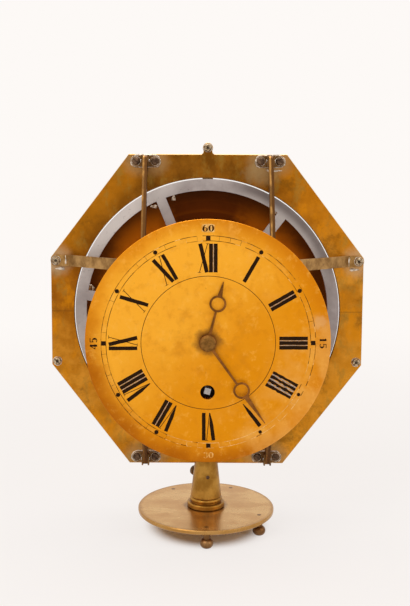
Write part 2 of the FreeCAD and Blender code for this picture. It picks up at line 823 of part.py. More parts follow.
def depth(layer):
    """Depth of a layer of the train, counted forward from the movement's back plate."""
    return back_inner - pillar_length * layer / train_layers


# Plates of the movement, joined by four riveted pillars
back_plate = drum(0, movement_z, movement_radius, back_inner, plate_front)
front_plate = drum(0, movement_z, movement_radius, front_outer, front_inner)
pivots = [
    (centre_at, centre_journal, centre_journal),
    (barrel_at, winding_pivot, winding_radius),
    (intermediate_at, train_pivot, train_pivot),
    (third_at, third_pivot, third_pivot),
    (escape_at, escape_pivot, escape_pivot),
    (lever_at, lever_pivot, lever_pivot),
    (balance_at, balance_pivot, balance_pivot),
]
for at, back_radius, front_radius in pivots:
    back_plate = back_plate.cut(drum(at[0], at[1], back_radius + running_gap, back_inner, plate_front))
    front_plate = front_plate.cut(drum(at[0], at[1], front_radius + running_gap, front_outer, front_inner))
pillars = []
pillar_screw_length = movement_sheet + pillar_grip
for k in range(4):
    x, z = polar(0, movement_z, pillar_circle, 45.0 + 90.0 * k)
    point = Vector(x, front_outer, z)
    cutter = screw_hole(point, BACKWARD, small_screw, pillar_screw_length)
    pillar = drum(x, z, pillar_radius, front_inner, back_inner)
    pillar = join([pillar, drum(x, z, pillar_spigot, back_inner - 1, plate_front)])
    pillars.append(pillar.cut(cutter))
    front_plate = front_plate.cut(cutter)
    back_plate = back_plate.cut(drum(x, z, pillar_spigot + seat_gap, back_inner, plate_front))
    frame_screws.append(screw(point, BACKWARD, small_screw, pillar_screw_length))
nodes["movement_pillars"] = Part.makeCompound(pillars)

# Screws through the hub hold the movement; a clear hole lets the centre arbor through
hold_length = plate_thickness + movement_sheet * 0.9
hold_points = []
for across, down in ((0.7, 0.1), (0.46, 0.7)):
    hold_points += [(side * hub_radius * across, plate_z - hub_radius * down) for side in (-1, 1)]
for x, z in hold_points:
    point = Vector(x, plate_rear, z)
    cutter = screw_hole(point, FORWARD, small_screw, hold_length)
    ring = ring.cut(cutter)
    back_plate = back_plate.cut(cutter)
    frame_screws.append(screw(point, FORWARD, small_screw, hold_length))
ring = ring.cut(drum(0, front_z, 2 * centre_journal, plate_front, plate_rear))
ring = ring.cut(drum(0, plate_z, centre_journal + running_gap, plate_front, plate_rear))

# Rear bridge on three pillars from the hub carries the rear hands
bridge = drum(0, plate_z, rear_bridge_radius, bridge_front, bridge_rear)
bridge = bridge.cut(drum(0, plate_z, centre_journal + running_gap, bridge_front, bridge_rear))
bridge_pillars = []
for k in range(3):
    x, z = polar(0, plate_z, rear_pillar_circle, 90.0 + 120.0 * k)
    point = Vector(x, bridge_rear, z)
    cutter = screw_hole(point, FORWARD, small_screw, pillar_screw_length)
    pillar = drum(x, z, rear_pillar_radius, plate_rear, bridge_front)
    spigot_end = plate_front + plate_thickness * 0.1
    pillar = join([pillar, drum(x, z, pillar_spigot, spigot_end, plate_rear + 1)])
    bridge_pillars.append(pillar.cut(cutter))
    bridge = bridge.cut(cutter)
    ring = ring.cut(drum(x, z, pillar_spigot + seat_gap, spigot_end, plate_rear))
    frame_screws.append(screw(point, FORWARD, small_screw, pillar_screw_length))
nodes["bridge_pillars"] = Part.makeCompound(bridge_pillars)
nodes["spider_ring"] = ring

# Going barrel: toothed flange and drum, cover, coiled mainspring
barrel_rear = depth(barrel_stand)
barrel_front = barrel_rear - barrel_length
flange_front = barrel_rear - barrel_flange
barrel_phase = 90.0
barrel = gear(barrel_at, barrel_teeth, barrel_module, barrel_phase, flange_front, barrel_rear)
wall = tube(0, barrel_z, barrel_radius, barrel_radius - barrel_wall, barrel_front, flange_front + 0.5)
barrel = join([barrel, wall])
nodes["barrel"] = barrel.cut(drum(0, barrel_z, winding_radius + running_gap, flange_front - 1, barrel_rear))
cover_back = barrel_front + barrel_wall
cover = drum(0, barrel_z, barrel_radius - barrel_wall - seat_gap, barrel_front, cover_back)
nodes["barrel_cover"] = cover.cut(drum(0, barrel_z, winding_radius + running_gap, barrel_front, cover_back))
coil_inner = winding_core + 0.6
coil_room = barrel_radius - barrel_wall - coil_inner - mainspring_strip - 0.6
coil_pitch = coil_room / (mainspring_turns + 0.25)
coil = (coil_inner, coil_pitch, mainspring_turns, mainspring_strip)
nodes["mainspring"] = spiral(barrel_at, *coil, cover_back + 0.8, flange_front - 0.8)

# Winding arbor with its square, ratchet wheel and gravity click
square_tip = dial_back + winding_recess
core_front = cover_back + 0.5
core_rear = flange_front - 0.5
winding_steps = [
    (winding_radius, front_outer),
    (winding_core, core_front),
    (winding_radius, core_rear),
    (winding_pivot, back_inner - 1.0),
    (0, plate_front - 0.3),
]
half_square = winding_square / math.sqrt(2)


def square_bar(radius, y0, y1):
    """Square bar on the winding arbor, by the radius of its corners."""
    corners = [polar(0, barrel_z, radius, winding_square_turn + 45 + 90 * k) for k in range(4)]
    return slab(corners, y0, y1)


square = square_bar(half_square, square_tip, front_outer + 1.0)
nodes["winding_arbor"] = join([arbor(barrel_at, winding_steps), square])
ratchet_front = front_outer - 2.6
ratchet_rear = front_outer - 0.6
ratchet_outline = []
for k in range(ratchet_teeth):
    bearing = 360.0 * k / ratchet_teeth
    ratchet_outline.append(polar(0, barrel_z, ratchet_radius, bearing))
    ratchet_outline.append(polar(0, barrel_z, ratchet_radius * 0.86, bearing + 1.5))
ratchet = slab(ratchet_outline, ratchet_front, ratchet_rear)
nodes["ratchet_wheel"] = ratchet.cut(square_bar(half_square + seat_gap * 1.5, ratchet_front, ratchet_rear))
click_tip = polar(0, barrel_z, ratchet_radius + 0.8, 71.0)
click_reach = polar(0, barrel_z, ratchet_radius + 1.3, 66.0)
click_elbow = (click_reach[0] + 1.2, click_reach[1] + 0.3)
click = [
    drum(click_at[0], click_at[1], 2.8, ratchet_front, ratchet_rear),
    bar(click_at, click_reach, 1.8, ratchet_front, ratchet_rear),
    bar(click_elbow, click_tip, 1.0, ratchet_front, ratchet_rear),
]
click = join(click)
click_bore = small_screw[2] + running_gap
nodes["click"] = click.cut(drum(click_at[0], click_at[1], click_bore, ratchet_front, ratchet_rear))
click_point = Vector(click_at[0], ratchet_front - slide_gap, click_at[1])
click_length = movement_sheet + 2.2
frame_screws.append(screw(click_point, BACKWARD, small_screw, click_length))
front_plate = front_plate.cut(screw_hole(click_point, BACKWARD, small_screw, click_length))

# Intermediate, third and escape wheels, each in one piece with its arbor and pinion
back_end = plate_front - 0.5
front_end = front_outer + 0.5
intermediate_phase = meshed(barrel_at, barrel_teeth, barrel_phase, intermediate_at, pinion_leaves)
sheet = (depth(3.0), depth(1.5))
intermediate_wheel = gear(intermediate_at, train_teeth, intermediate_module, 0.0, *sheet)
intermediate_rim = intermediate_module * train_teeth / 2 - 2.4
crossing = (intermediate_rim, intermediate_hub, 5, 2.6)
intermediate_wheel = crossed(intermediate_wheel, intermediate_at, *crossing, *sheet)
train_steps = [
    (train_pivot, front_end),
    (train_radius, front_inner + slide_gap),
    (train_pivot, back_inner - slide_gap),
    (0, back_end),
]
intermediate_parts = [
    arbor(intermediate_at, train_steps),
    gear(intermediate_at, pinion_leaves, barrel_module, intermediate_phase, depth(9.6), depth(4.8)),
    drum(intermediate_at[0], intermediate_at[1], 4.2, depth(5.0), depth(2.8)),
    intermediate_wheel,
]
nodes["intermediate_wheel"] = join(intermediate_parts)

centre_phase = meshed(intermediate_at, train_teeth, 0.0, centre_at, pinion_leaves)
arbor_front = dial_front - minute_hand_gap - hand_sheet - hand_nut_height - 0.6
reversing_front = plate_rear + 1.0
reversing_rear = plate_rear + 3.0
centre_steps = [
    (centre_journal, arbor_front),
    (centre_radius, front_inner + slide_gap),
    (centre_journal, back_inner - slide_gap),
    (0, reversing_rear + 1.0),
]
centre_parts = [
    arbor(centre_at, centre_steps),
    gear(centre_at, pinion_leaves, intermediate_module, centre_phase, depth(4.0), depth(0.6)),
]
nodes["centre_arbor"] = join(centre_parts)
sheet = (depth(12.5), depth(11.0))
centre_wheel = gear(centre_at, train_teeth, centre_module, 0.0, *sheet)
centre_wheel = crossed(centre_wheel, centre_at, centre_module * train_teeth / 2 - 2.2, 5.0, 5, 2.2, *sheet)
nodes["centre_wheel"] = centre_wheel.cut(drum(0, front_z, centre_radius + seat_gap, *sheet))

third_phase = meshed(centre_at, train_teeth, 0.0, third_at, pinion_leaves)
sheet = (depth(18.5), depth(17.0))
third_wheel = gear(third_at, train_teeth, third_module, 0.0, *sheet)
third_wheel = crossed(third_wheel, third_at, third_module * train_teeth / 2 - 2.0, 3.6, 5, 2.0, *sheet)
third_steps = [
    (third_pivot, front_end),
    (third_radius, front_inner + slide_gap),
    (third_pivot, back_inner - slide_gap),
    (0, back_end),
]
third_parts = [
    arbor(third_at, third_steps),
    gear(third_at, pinion_leaves, centre_module, third_phase, depth(13.6), depth(9.8)),
    third_wheel,
]
nodes["third_wheel"] = join(third_parts)

escape_phase = meshed(third_at, train_teeth, 0.0, escape_at, pinion_leaves)
escape_outline = []
for k in range(escape_teeth):
    bearing = 360.0 * k / escape_teeth
    escape_outline.append(polar(escape_at[0], escape_at[1], escape_radius, bearing))
    escape_outline.append(polar(escape_at[0], escape_at[1], escape_radius * 0.9, bearing + 0.8))
sheet = (depth(24.0), depth(23.0))
escape_wheel = slab(escape_outline, *sheet)
escape_wheel = crossed(escape_wheel, escape_at, escape_radius * 0.8, 3.2, 4, 1.6, *sheet)
escape_steps = [
    (escape_pivot, front_end),
    (escape_arbor_radius, front_inner + slide_gap),
    (escape_pivot, back_inner - slide_gap),
    (0, back_end),
]
escape_parts = [
    arbor(escape_at, escape_steps),
    gear(escape_at, pinion_leaves, third_module, escape_phase, depth(19.6), depth(15.8)),
    escape_wheel,
]
nodes["escape_wheel"] = join(escape_parts)

# Pallet lever, balance and hairspring
pallet_reach = escape_radius + 0.45
lever_rear = depth(22.5)
lever_front = depth(24.5)
pallet_bearings = (lever_bearing - 24.0, lever_bearing + 24.0)
pallets = [polar(escape_at[0], escape_at[1], pallet_reach, bearing) for bearing in pallet_bearings]
shoulder_bearings = (lever_bearing - 25.0, lever_bearing + 25.0)
shoulders = [polar(escape_at[0], escape_at[1], pallet_reach + 2.6, bearing) for bearing in shoulder_bearings]
lever_parts = [drum(lever_at[0], lever_at[1], 2.2, lever_front, lever_rear)]
for pallet, shoulder in zip(pallets, shoulders):
    lever_parts.append(bar(lever_at, shoulder, 1.8, lever_front, lever_rear))
    lever_parts.append(bar(shoulder, pallet, 1.2, lever_front, lever_rear))
fork = polar(lever_at[0], lever_at[1], balance_distance - 3.2, balance_bearing)
lever_parts.append(bar(lever_at, fork, 1.6, lever_front, lever_rear))
lever_steps = [
    (lever_pivot, front_end),
    (1.3, front_inner + slide_gap),
    (lever_pivot, back_inner - slide_gap),
    (0, back_end),
]
lever_parts.append(arbor(lever_at, lever_steps))
nodes["pallet_lever"] = join(lever_parts)
rim_rear = depth(28.0)
rim_front = depth(30.0)
rim_inner = balance_rim - balance_rim_width
balance_parts = [tube(balance_at[0], balance_at[1], balance_rim, rim_inner, rim_front, rim_rear)]
for k in range(3):
    end = polar(balance_at[0], balance_at[1], balance_rim - balance_rim_width / 2, 90.0 + 120.0 * k)
    balance_parts.append(bar(balance_at, end, 1.8, rim_front, rim_rear))
balance_parts.append(drum(balance_at[0], balance_at[1], 2.2, lever_front, lever_rear))
hair_front = depth(32.0)
balance_parts.append(drum(balance_at[0], balance_at[1], 2.0, hair_front, rim_rear))
balance_steps = [
    (balance_pivot, front_end),
    (1.3, front_inner + slide_gap),
    (balance_pivot, back_inner - slide_gap),
    (0, back_end),
]
balance_parts.append(arbor(balance_at, balance_steps))
nodes["balance_wheel"] = join(balance_parts)
hair_inner = 2.3
hair_pitch = (hairspring_outer - hair_inner) / (hairspring_turns + 0.5)
hair_rear = depth(31.0)
coil = (hair_inner, hair_pitch, hairspring_turns, hairspring_strip)
hairspring = spiral(balance_at, *coil, hair_front, hair_rear)
hair_end = hair_inner + hair_pitch * hairspring_turns
stud_x = balance_at[0] + hair_end
hair_stud = block(stud_x - 0.4, stud_x + 1.4, front_inner, hair_rear, balance_at[1] - 1.6, balance_at[1])
nodes["hairspring"] = hairspring
nodes["hairspring_stud"] = hair_stud.cut(hairspring)
nodes["back_plate"] = back_plate

# Reversing wheels behind the hub turn the rear hands the other way
reversing_phase = meshed(centre_at, reversing_teeth, 0.0, rear_at, reversing_teeth)
reversing = gear(centre_at, reversing_teeth, reversing_module, 0.0, reversing_front, reversing_rear)
bore = drum(0, front_z, centre_journal + seat_gap, reversing_front, reversing_rear)
nodes["reversing_driver"] = reversing.cut(bore)
reversing = gear(rear_at, reversing_teeth, reversing_module, reversing_phase, reversing_front, reversing_rear)
bore = drum(0, plate_z, centre_radius + seat_gap, reversing_front, reversing_rear)
nodes["reversing_follower"] = reversing.cut(bore)
rear_steps = [
    (centre_journal, plate_front + 0.5),
    (centre_radius, plate_rear + slide_gap),
    (centre_journal, bridge_front - slide_gap),
    (0, -arbor_front),
]
nodes["rear_arbor"] = arbor(rear_at, rear_steps)


def hand(at, side, angle, length, ring_at, boss, bore, near):
    """Pierced-ring hand lying outside a dial; the side is -1 in front and 1 behind."""
    far = near + side * hand_sheet
    bearing = 90.0 + side * angle
    tip = polar(at[0], at[1], length, bearing)
    ring_centre = polar(at[0], at[1], ring_at, bearing)
    ring_near = polar(at[0], at[1], ring_at - hand_ring_inner - 0.6, bearing)
    ring_far = polar(at[0], at[1], ring_at + hand_ring_inner + 0.6, bearing)
    across = (math.cos(math.radians(bearing + 90)), math.sin(math.radians(bearing + 90)))

    def beside(point, offset):
        return point[0] + across[0] * offset, point[1] + across[1] * offset

    def taper(start, start_half, end, end_half):
        left = [beside(start, start_half), beside(end, end_half)]
        right = [beside(end, -end_half), beside(start, -start_half)]
        return slab(left + right, near, far)

    root = polar(at[0], at[1], boss * 0.5, bearing)
    pieces = [
        drum(at[0], at[1], boss, near, far),
        taper(root, hand_root / 2, ring_near, hand_rod / 2),
        tube(ring_centre[0], ring_centre[1], hand_ring_outer, hand_ring_inner, near, far),
        taper(ring_far, hand_blade / 2, tip, 0.35),
    ]
    return join(pieces).cut(drum(at[0], at[1], bore, near, far))


# Motion work and hands, once for each dial
sides = (
    ("front", -1, front_outer, centre_at, front_stud_at),
    ("rear", 1, bridge_rear, rear_at, rear_stud_at),
)
studs = []
for name, side, face, axis_at, stud_at in sides:

    def out(distance):
        """Depth at a distance outside the plate that carries this motion work."""
        return face + side * distance

    dial_face = motion_space + dial_thickness
    hour_near = dial_face + hour_hand_gap
    minute_near = dial_face + minute_hand_gap
    nut_near = minute_near + hand_sheet
    cannon_phase = 90.0
    cannon = join([
        gear(axis_at, cannon_teeth, minute_module, cannon_phase, out(1.4), out(4.6)),
        drum(axis_at[0], axis_at[1], cannon_pipe, out(1.0), out(nut_near)),
    ])
    bore = drum(axis_at[0], axis_at[1], centre_journal + seat_gap, out(0), out(nut_near + 1))
    nodes[name + "_cannon"] = cannon.cut(bore)

    wheel_phase = meshed(axis_at, cannon_teeth, cannon_phase, stud_at, minute_teeth)
    wheel = gear(stud_at, minute_teeth, minute_module, wheel_phase, out(2.0), out(3.6))
    rim = minute_module * minute_teeth / 2 - 2.4
    wheel = crossed(wheel, stud_at, rim, 5.2, 4, 2.4, out(2.0), out(3.6))
    wheel = join([wheel, gear(stud_at, pinion_leaves, hour_module, 0.0, out(3.2), out(8.2))])
    bore = drum(stud_at[0], stud_at[1], stud_radius + running_gap, out(1), out(9))
    nodes[name + "_minute_wheel"] = wheel.cut(bore)
    studs.append(drum(stud_at[0], stud_at[1], stud_radius, out(0.3 - movement_sheet), out(9.2)))

    hour_phase = meshed(stud_at, pinion_leaves, 0.0, axis_at, hour_teeth)
    hour_wheel = gear(axis_at, hour_teeth, hour_module, hour_phase, out(5.6), out(7.2))
    rim = hour_module * hour_teeth / 2 - 2.4
    hour_wheel = crossed(hour_wheel, axis_at, rim, 6.4, 4, 2.4, out(5.6), out(7.2))
    pipe_end = hour_near + hand_sheet
    hour_wheel = join([hour_wheel, drum(axis_at[0], axis_at[1], hour_pipe, out(5.6), out(pipe_end))])
    bore = drum(axis_at[0], axis_at[1], cannon_pipe + running_gap, out(5), out(pipe_end + 1))
    nodes[name + "_hour_wheel"] = hour_wheel.cut(bore)

    hour_shape = (hour_angle, hour_length, hour_ring_at, hour_boss, hour_pipe + seat_gap)
    nodes[name + "_hour_hand"] = hand(axis_at, side, *hour_shape, out(hour_near))
    minute_shape = (minute_angle, minute_length, minute_ring_at, minute_boss, cannon_pipe + seat_gap)
    nodes[name + "_minute_hand"] = hand(axis_at, side, *minute_shape, out(minute_near))
    nut_profile = [
        (centre_journal + seat_gap, 0),
        (hand_nut_radius, 0),
        (hand_nut_radius, hand_nut_height * 0.35),
        (hand_nut_radius * 0.86, hand_nut_height * 0.75, hand_nut_radius * 0.5, hand_nut_height),
        (centre_journal + seat_gap, hand_nut_height),
    ]
    nodes[name + "_hand_nut"] = turned(nut_profile, Vector(0, out(nut_near), axis_at[1]), Vector(0, side, 0))

stud_cutter = drum(front_stud_at[0], front_stud_at[1], stud_radius + seat_gap, front_outer, front_inner)
nodes["front_plate"] = front_plate.cut(stud_cutter)
stud_cutter = drum(rear_stud_at[0], rear_stud_at[1], stud_radius + seat_gap, bridge_front, bridge_rear)
nodes["rear_bridge"] = bridge.cut(stud_cutter)
nodes["motion_studs"] = Part.makeCompound(studs)
nodes["frame_screws"] = Part.makeCompound(frame_screws)

os.makedirs("parts", exist_ok=True)
for name, shape in nodes.items():
    shape.exportStep("parts/" + name + ".step")
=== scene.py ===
# %% [markdown]
# # A double-sided desk clock
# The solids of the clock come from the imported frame: plate, ring, dials, hands, movement, column
# and base. This lesson gives them their finishes and adds what is too thin or too irregular for a
# workshop drawing: the engraved and wax-filled dials, the solder along the lugs, and the studio
# that the clock stands in.

# %% Load the frame
import math
import random

import bpy
from mathutils import Matrix, Vector


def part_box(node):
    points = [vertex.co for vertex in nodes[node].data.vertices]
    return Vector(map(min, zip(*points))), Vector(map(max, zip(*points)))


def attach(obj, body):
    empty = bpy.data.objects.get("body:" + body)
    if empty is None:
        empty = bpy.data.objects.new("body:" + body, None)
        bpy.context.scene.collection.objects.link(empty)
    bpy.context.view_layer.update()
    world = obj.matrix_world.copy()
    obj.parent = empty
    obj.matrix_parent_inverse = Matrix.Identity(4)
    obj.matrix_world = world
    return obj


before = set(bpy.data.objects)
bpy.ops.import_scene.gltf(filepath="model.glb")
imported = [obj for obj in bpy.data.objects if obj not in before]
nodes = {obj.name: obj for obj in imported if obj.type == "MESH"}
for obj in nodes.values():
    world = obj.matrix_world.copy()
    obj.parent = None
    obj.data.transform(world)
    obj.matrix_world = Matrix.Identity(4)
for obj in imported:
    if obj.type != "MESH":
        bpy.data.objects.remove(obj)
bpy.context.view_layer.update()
MM = 0.001

# %% [markdown]
# Every later step needs a few places on the clock. They are read from the frame's own boxes and
# never typed twice, so a change of size in the frame moves the artwork along with the dial that
# carries it. A lug is a strip with round ends, and only its half sizes and the radius of a screw
# head are stated here.

# %% Places on the clock, in millimetres


def span(node):
    """Middle and half size of a node's box in millimetres."""
    low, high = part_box(node)
    return (low + high) / 2 / MM, (high - low) / 2 / MM


dial_middle, dial_half = span("front_dial")
rear_middle, rear_half = span("rear_dial")
ring_middle, ring_half = span("spider_ring")
_, lug_half = span("arm_brackets")
screw_middle, screw_half = span("corner_screws")
LUG_STRAIGHT, LUG_ROUND, SCREW_HEAD = 8.45, 5.2, 3.4
DIAL_Z, DIAL_FACE = dial_middle.z, dial_middle.y - dial_half.y
REAR_Z, REAR_FACE = rear_middle.z, rear_middle.y + rear_half.y
REAR_INNER = rear_middle.y - rear_half.y
PLATE_Z, PLATE_FRONT = ring_middle.z, ring_middle.y - ring_half.y
LUG_X = lug_half.x - (LUG_STRAIGHT + LUG_ROUND)
LUG_Z = lug_half.z - LUG_ROUND
CORNER_X = screw_half.x - SCREW_HEAD
CORNER_RISE = PLATE_Z - (screw_middle.z - screw_half.z + SCREW_HEAD)
EAR_Z = screw_middle.z + screw_half.z - SCREW_HEAD
print("front dial radius", round(dial_half.x, 1), "rear dial radius", round(rear_half.x, 1))
print("plate centre", round(PLATE_Z, 1), "high")

# %% [markdown]
# The camera stands where the photographer stood: in front, a hand's breadth above the middle,
# looking slightly down. The focal length was found from the octagon and the base ellipse, in pixels
# of a frame of 410 by 606, so it is turned into a lens for Blender's 36 mm sensor. The picture was
# cropped off centre, which is a lens shift, and held a quarter of a degree askew, which is a roll
# about the line of sight.

# %% Camera
FRAME_W, FRAME_H, FOCAL, SENSOR = 410, 606, 828.0, 36
AIM_X, AIM_Y = 194.7, 288.6
LOOK_DOWN, HELD_ASKEW = 5.77, 0.25
camera_data = bpy.data.cameras.new("counter_view")
camera_data.lens = FOCAL * SENSOR / FRAME_H
camera_data.shift_x = (FRAME_W / 2 - AIM_X) / FRAME_H
camera_data.shift_y = (AIM_Y - FRAME_H / 2) / FRAME_H
camera = bpy.data.objects.new("counter_view", camera_data)
camera.location = (-0.012, -0.7947, 0.3153)
tilt = Matrix.Rotation(math.radians(90 - LOOK_DOWN), 3, "X")
roll = Matrix.Rotation(math.radians(HELD_ASKEW), 3, "Z")
camera.rotation_euler = (tilt @ roll).to_euler()
bpy.context.scene.collection.objects.link(camera)
bpy.context.scene.camera = camera
bpy.context.scene.view_settings.view_transform = "Standard"
print("lens", round(camera_data.lens, 1), "mm")

# %% [markdown]
# A finish is arithmetic on the surface: a stain is a distance, a patina is a noise, a scratch is a
# stretched noise. Wiring that by hand is slow to read, so a small class wraps one socket and
# overloads the operators. A number goes to a Math node and a vector to a Vector Math node. All
# other nodes come from one method, `Finish.node`.

# %% Shader arithmetic


class Wire:
    """One output socket that can stand in a Python expression."""

    def __init__(self, finish, socket):
        self.finish = finish
        self.socket = socket

    def combine(self, operation, *terms):
        wires = [t for t in terms if isinstance(t, Wire)]
        vector = any(isinstance(t, tuple) for t in terms) or any(w.socket.type == "VECTOR" for w in wires)
        kind = "ShaderNodeVectorMath" if vector else "ShaderNodeMath"
        values = [(t, t, t) if vector and isinstance(t, (int, float)) else t for t in terms]
        return self.finish.node(kind, {"operation": operation}, dict(enumerate(values)))

    def __add__(self, other):
        return self.combine("ADD", self, other)

    __radd__ = __add__

    def __sub__(self, other):
        return self.combine("SUBTRACT", self, other)

    def __rsub__(self, other):
        return self.combine("SUBTRACT", other, self)

    def __mul__(self, other):
        return self.combine("MULTIPLY", self, other)

    __rmul__ = __mul__

    def __pow__(self, other):
        return self.combine("POWER", self, other)

    def __abs__(self):
        return self.combine("ABSOLUTE", self)

    def above(self, other):
        """The larger of two values."""
        return self.combine("MAXIMUM", self, other)

    def below(self, other):
        """The smaller of two values."""
        return self.combine("MINIMUM", self, other)

    def rise(self, low, high):
        """0 below low, 1 above high, smooth between; low may be the larger."""
        ends = {"From Min": low, "From Max": high, "Value": self}
        return self.finish.node("ShaderNodeMapRange", {"interpolation_type": "SMOOTHSTEP"}, ends)


def srgb(red, green, blue):
    """A colour as a paint chart gives it, 0 to 255, for a shader socket."""
    chart = (red, green, blue)
    linear = [c / 255 / 12.92 if c < 11 else ((c / 255 + 0.055) / 1.055) ** 2.4 for c in chart]
    return (*linear, 1.0)


class Finish:
    """A material in the making, with the surface's own place in millimetres at rest."""

    def __init__(self, name, **constants):
        self.material = bpy.data.materials.new(name)
        self.material.use_nodes = True
        self.tree = self.material.node_tree
        self.shader = self.tree.nodes["Principled BSDF"]
        for socket, value in constants.items():
            self.shader.inputs[socket.replace("_", " ")].default_value = value
        self.place = self.node("ShaderNodeTexCoord", out="Object") * 1000.0

    def node(self, kind, settings=None, sockets=None, out=0):
        """Adds a node: its settings first, then the values or wires of its sockets."""
        made = self.tree.nodes.new(kind)
        for key, value in (settings or {}).items():
            setattr(made, key, value)
        for key, value in (sockets or {}).items():
            if isinstance(value, Wire):
                self.tree.links.new(value.socket, made.inputs[key])
            else:
                made.inputs[key].default_value = value
        return Wire(self, made.outputs[out])

    def axes(self):
        """Across, depth and height of the surface point."""
        return [self.node("ShaderNodeSeparateXYZ", None, {"Vector": self.place}, out) for out in range(3)]

    def facing(self):
        """The surface normal's share along each axis."""
        normal = self.node("ShaderNodeTexCoord", out="Normal")
        return [self.node("ShaderNodeSeparateXYZ", None, {"Vector": normal}, out) for out in range(3)]

    def cloud(self, size, detail=3.0, roughness=0.55, stretch=(1.0, 1.0, 1.0), shift=0.0):
        """Noise from 0 to 1 whose blotches are about size millimetres."""
        where = self.place * tuple(s / size for s in stretch) + (shift, shift * 0.7, shift * 1.3)
        inputs = {"Vector": where, "Scale": 1.0, "Detail": detail, "Roughness": roughness}
        return self.node("ShaderNodeTexNoise", None, inputs)

    def lathe_marks(self, along, detail=4.0):
        """Noise along one value only, as a turning tool leaves it."""
        inputs = {"W": along, "Scale": 1.0, "Detail": detail}
        return self.node("ShaderNodeTexNoise", {"noise_dimensions": "1D"}, inputs)

    def mix(self, share, first, second):
        """A colour between two, by a share from 0 to 1."""
        return self.node("ShaderNodeMix", {"data_type": "RGBA"}, {0: share, 6: first, 7: second}, out=2)

    def set(self, socket, wire):
        """Joins a wire to a socket of the surface shader."""
        self.tree.links.new(wire.socket, self.shader.inputs[socket])

    def relief(self, height, depth):
        """Bumps of a depth in millimetres, from a height of 0 to 1."""
        bump = {"Strength": 1.0, "Distance": depth * MM, "Height": height}
        self.set("Normal", self.node("ShaderNodeBump", None, bump))

    def onto(self, *names):
        """Gives the finish to nodes of the frame."""
        for name in names:
            mesh = nodes[name].data
            mesh.materials.clear()
            mesh.materials.append(self.material)
        print(self.material.name, "on", ", ".join(names))


# %% [markdown]
# The studio is a pale floor under soft light. The background stays white without extra light on the
# clock: rays that come straight from the camera, or by way of a mirror-like surface, see a plain
# bright world, and all others see a dimmer one.

# %% World
world = bpy.data.worlds.new("studio")
bpy.context.scene.world = world
world.use_nodes = True
world_nodes, world_links = world.node_tree.nodes, world.node_tree.links
world_path = world_nodes.new("ShaderNodeLightPath")
seen = world_nodes.new("ShaderNodeMath")
seen.operation = "MAXIMUM"
world_links.new(world_path.outputs["Is Camera Ray"], seen.inputs[0])
also = world_nodes.new("ShaderNodeMath")
also.operation = "MAXIMUM"
world_links.new(world_path.outputs["Is Glossy Ray"], also.inputs[0])
world_links.new(world_path.outputs["Is Transmission Ray"], also.inputs[1])
world_links.new(also.outputs[0], seen.inputs[1])
soft_sky = world_nodes["Background"]
soft_sky.inputs["Color"].default_value = (1.0, 0.985, 0.97, 1)
soft_sky.inputs["Strength"].default_value = 0.24
white_wall = world_nodes.new("ShaderNodeBackground")
white_wall.inputs["Color"].default_value = srgb(253, 249, 246)
white_wall.inputs["Strength"].default_value = 1.0
either = world_nodes.new("ShaderNodeMixShader")
world_links.new(seen.outputs[0], either.inputs[0])
world_links.new(soft_sky.outputs[0], either.inputs[1])
world_links.new(white_wall.outputs[0], either.inputs[2])
world_links.new(either.outputs[0], world_nodes["World Output"].inputs["Surface"])
print("world: dim for the clock's own light, white where it is looked at")

# %% [markdown]
# The floor is looked at in the same way, so that it runs into the white background without a line.
# Under the clock it keeps its true shade, because the dark shadow beneath the base is what sets the
# clock down on the table.

# %% Floor
floor_mesh = bpy.data.meshes.new("studio_floor")
SIDES = 64
floor_turns = [k * math.tau / SIDES for k in range(SIDES)]
floor_ring = [(math.cos(t), math.sin(t)) for t in floor_turns]
floor_radii = (0.3, 0.8, 2.0, 12.0)
floor_points = [(0, 0, 0)] + [(x * r, y * r, 0) for r in floor_radii for x, y in floor_ring]
floor_faces = [(0, 1 + k, 1 + (k + 1) % SIDES) for k in range(SIDES)]
for row in range(len(floor_radii) - 1):
    a, b = 1 + SIDES * row, 1 + SIDES * (row + 1)
    floor_faces += [(a + k, b + k, b + (k + 1) % SIDES, a + (k + 1) % SIDES) for k in range(SIDES)]
floor_mesh.from_pydata(floor_points, [], floor_faces)
floor = bpy.data.objects.new("studio_floor", floor_mesh)
bpy.context.scene.collection.objects.link(floor)
paper = Finish("studio_paper", Roughness=0.9, Specular_IOR_Level=0.1, Base_Color=srgb(249, 248, 247))
across, deep, _ = paper.axes()
distance = (across * across + deep * deep) ** 0.5
looking = ("Is Camera Ray", "Is Glossy Ray", "Is Transmission Ray")
direct, mirrored, passed = [paper.node("ShaderNodeLightPath", out=ray) for ray in looking]
looked_at = direct.above(mirrored).above(passed)
tone = paper.mix(distance.rise(150.0, 1500.0), srgb(246, 241, 238), srgb(253, 249, 246))
glow = paper.node("ShaderNodeEmission", None, {"Color": tone, "Strength": 1.0})
past_base, far_away = distance.rise(42.5, 64.0), distance.rise(120.0, 900.0)
share = looked_at * (0.86 * past_base + 0.14 * far_away)
lit_paper = Wire(paper, paper.shader.outputs[0])
both = paper.node("ShaderNodeMixShader", None, {0: share, 1: lit_paper, 2: glow})
paper.tree.links.new(both.socket, paper.tree.nodes["Material Output"].inputs["Surface"])
floor_mesh.materials.append(paper.material)
print("floor: radius", floor_radii[-1], "m")

# %% [markdown]
# Three large soft boxes light the clock: a key from the upper left, a weak fill from the right, and
# one overhead that brightens the base and leaves the space under it dark.

# %% Lamps
LAMP_AIM, LAMP_COLOUR = (0, 0, 0.2), (1.0, 0.98, 0.95)


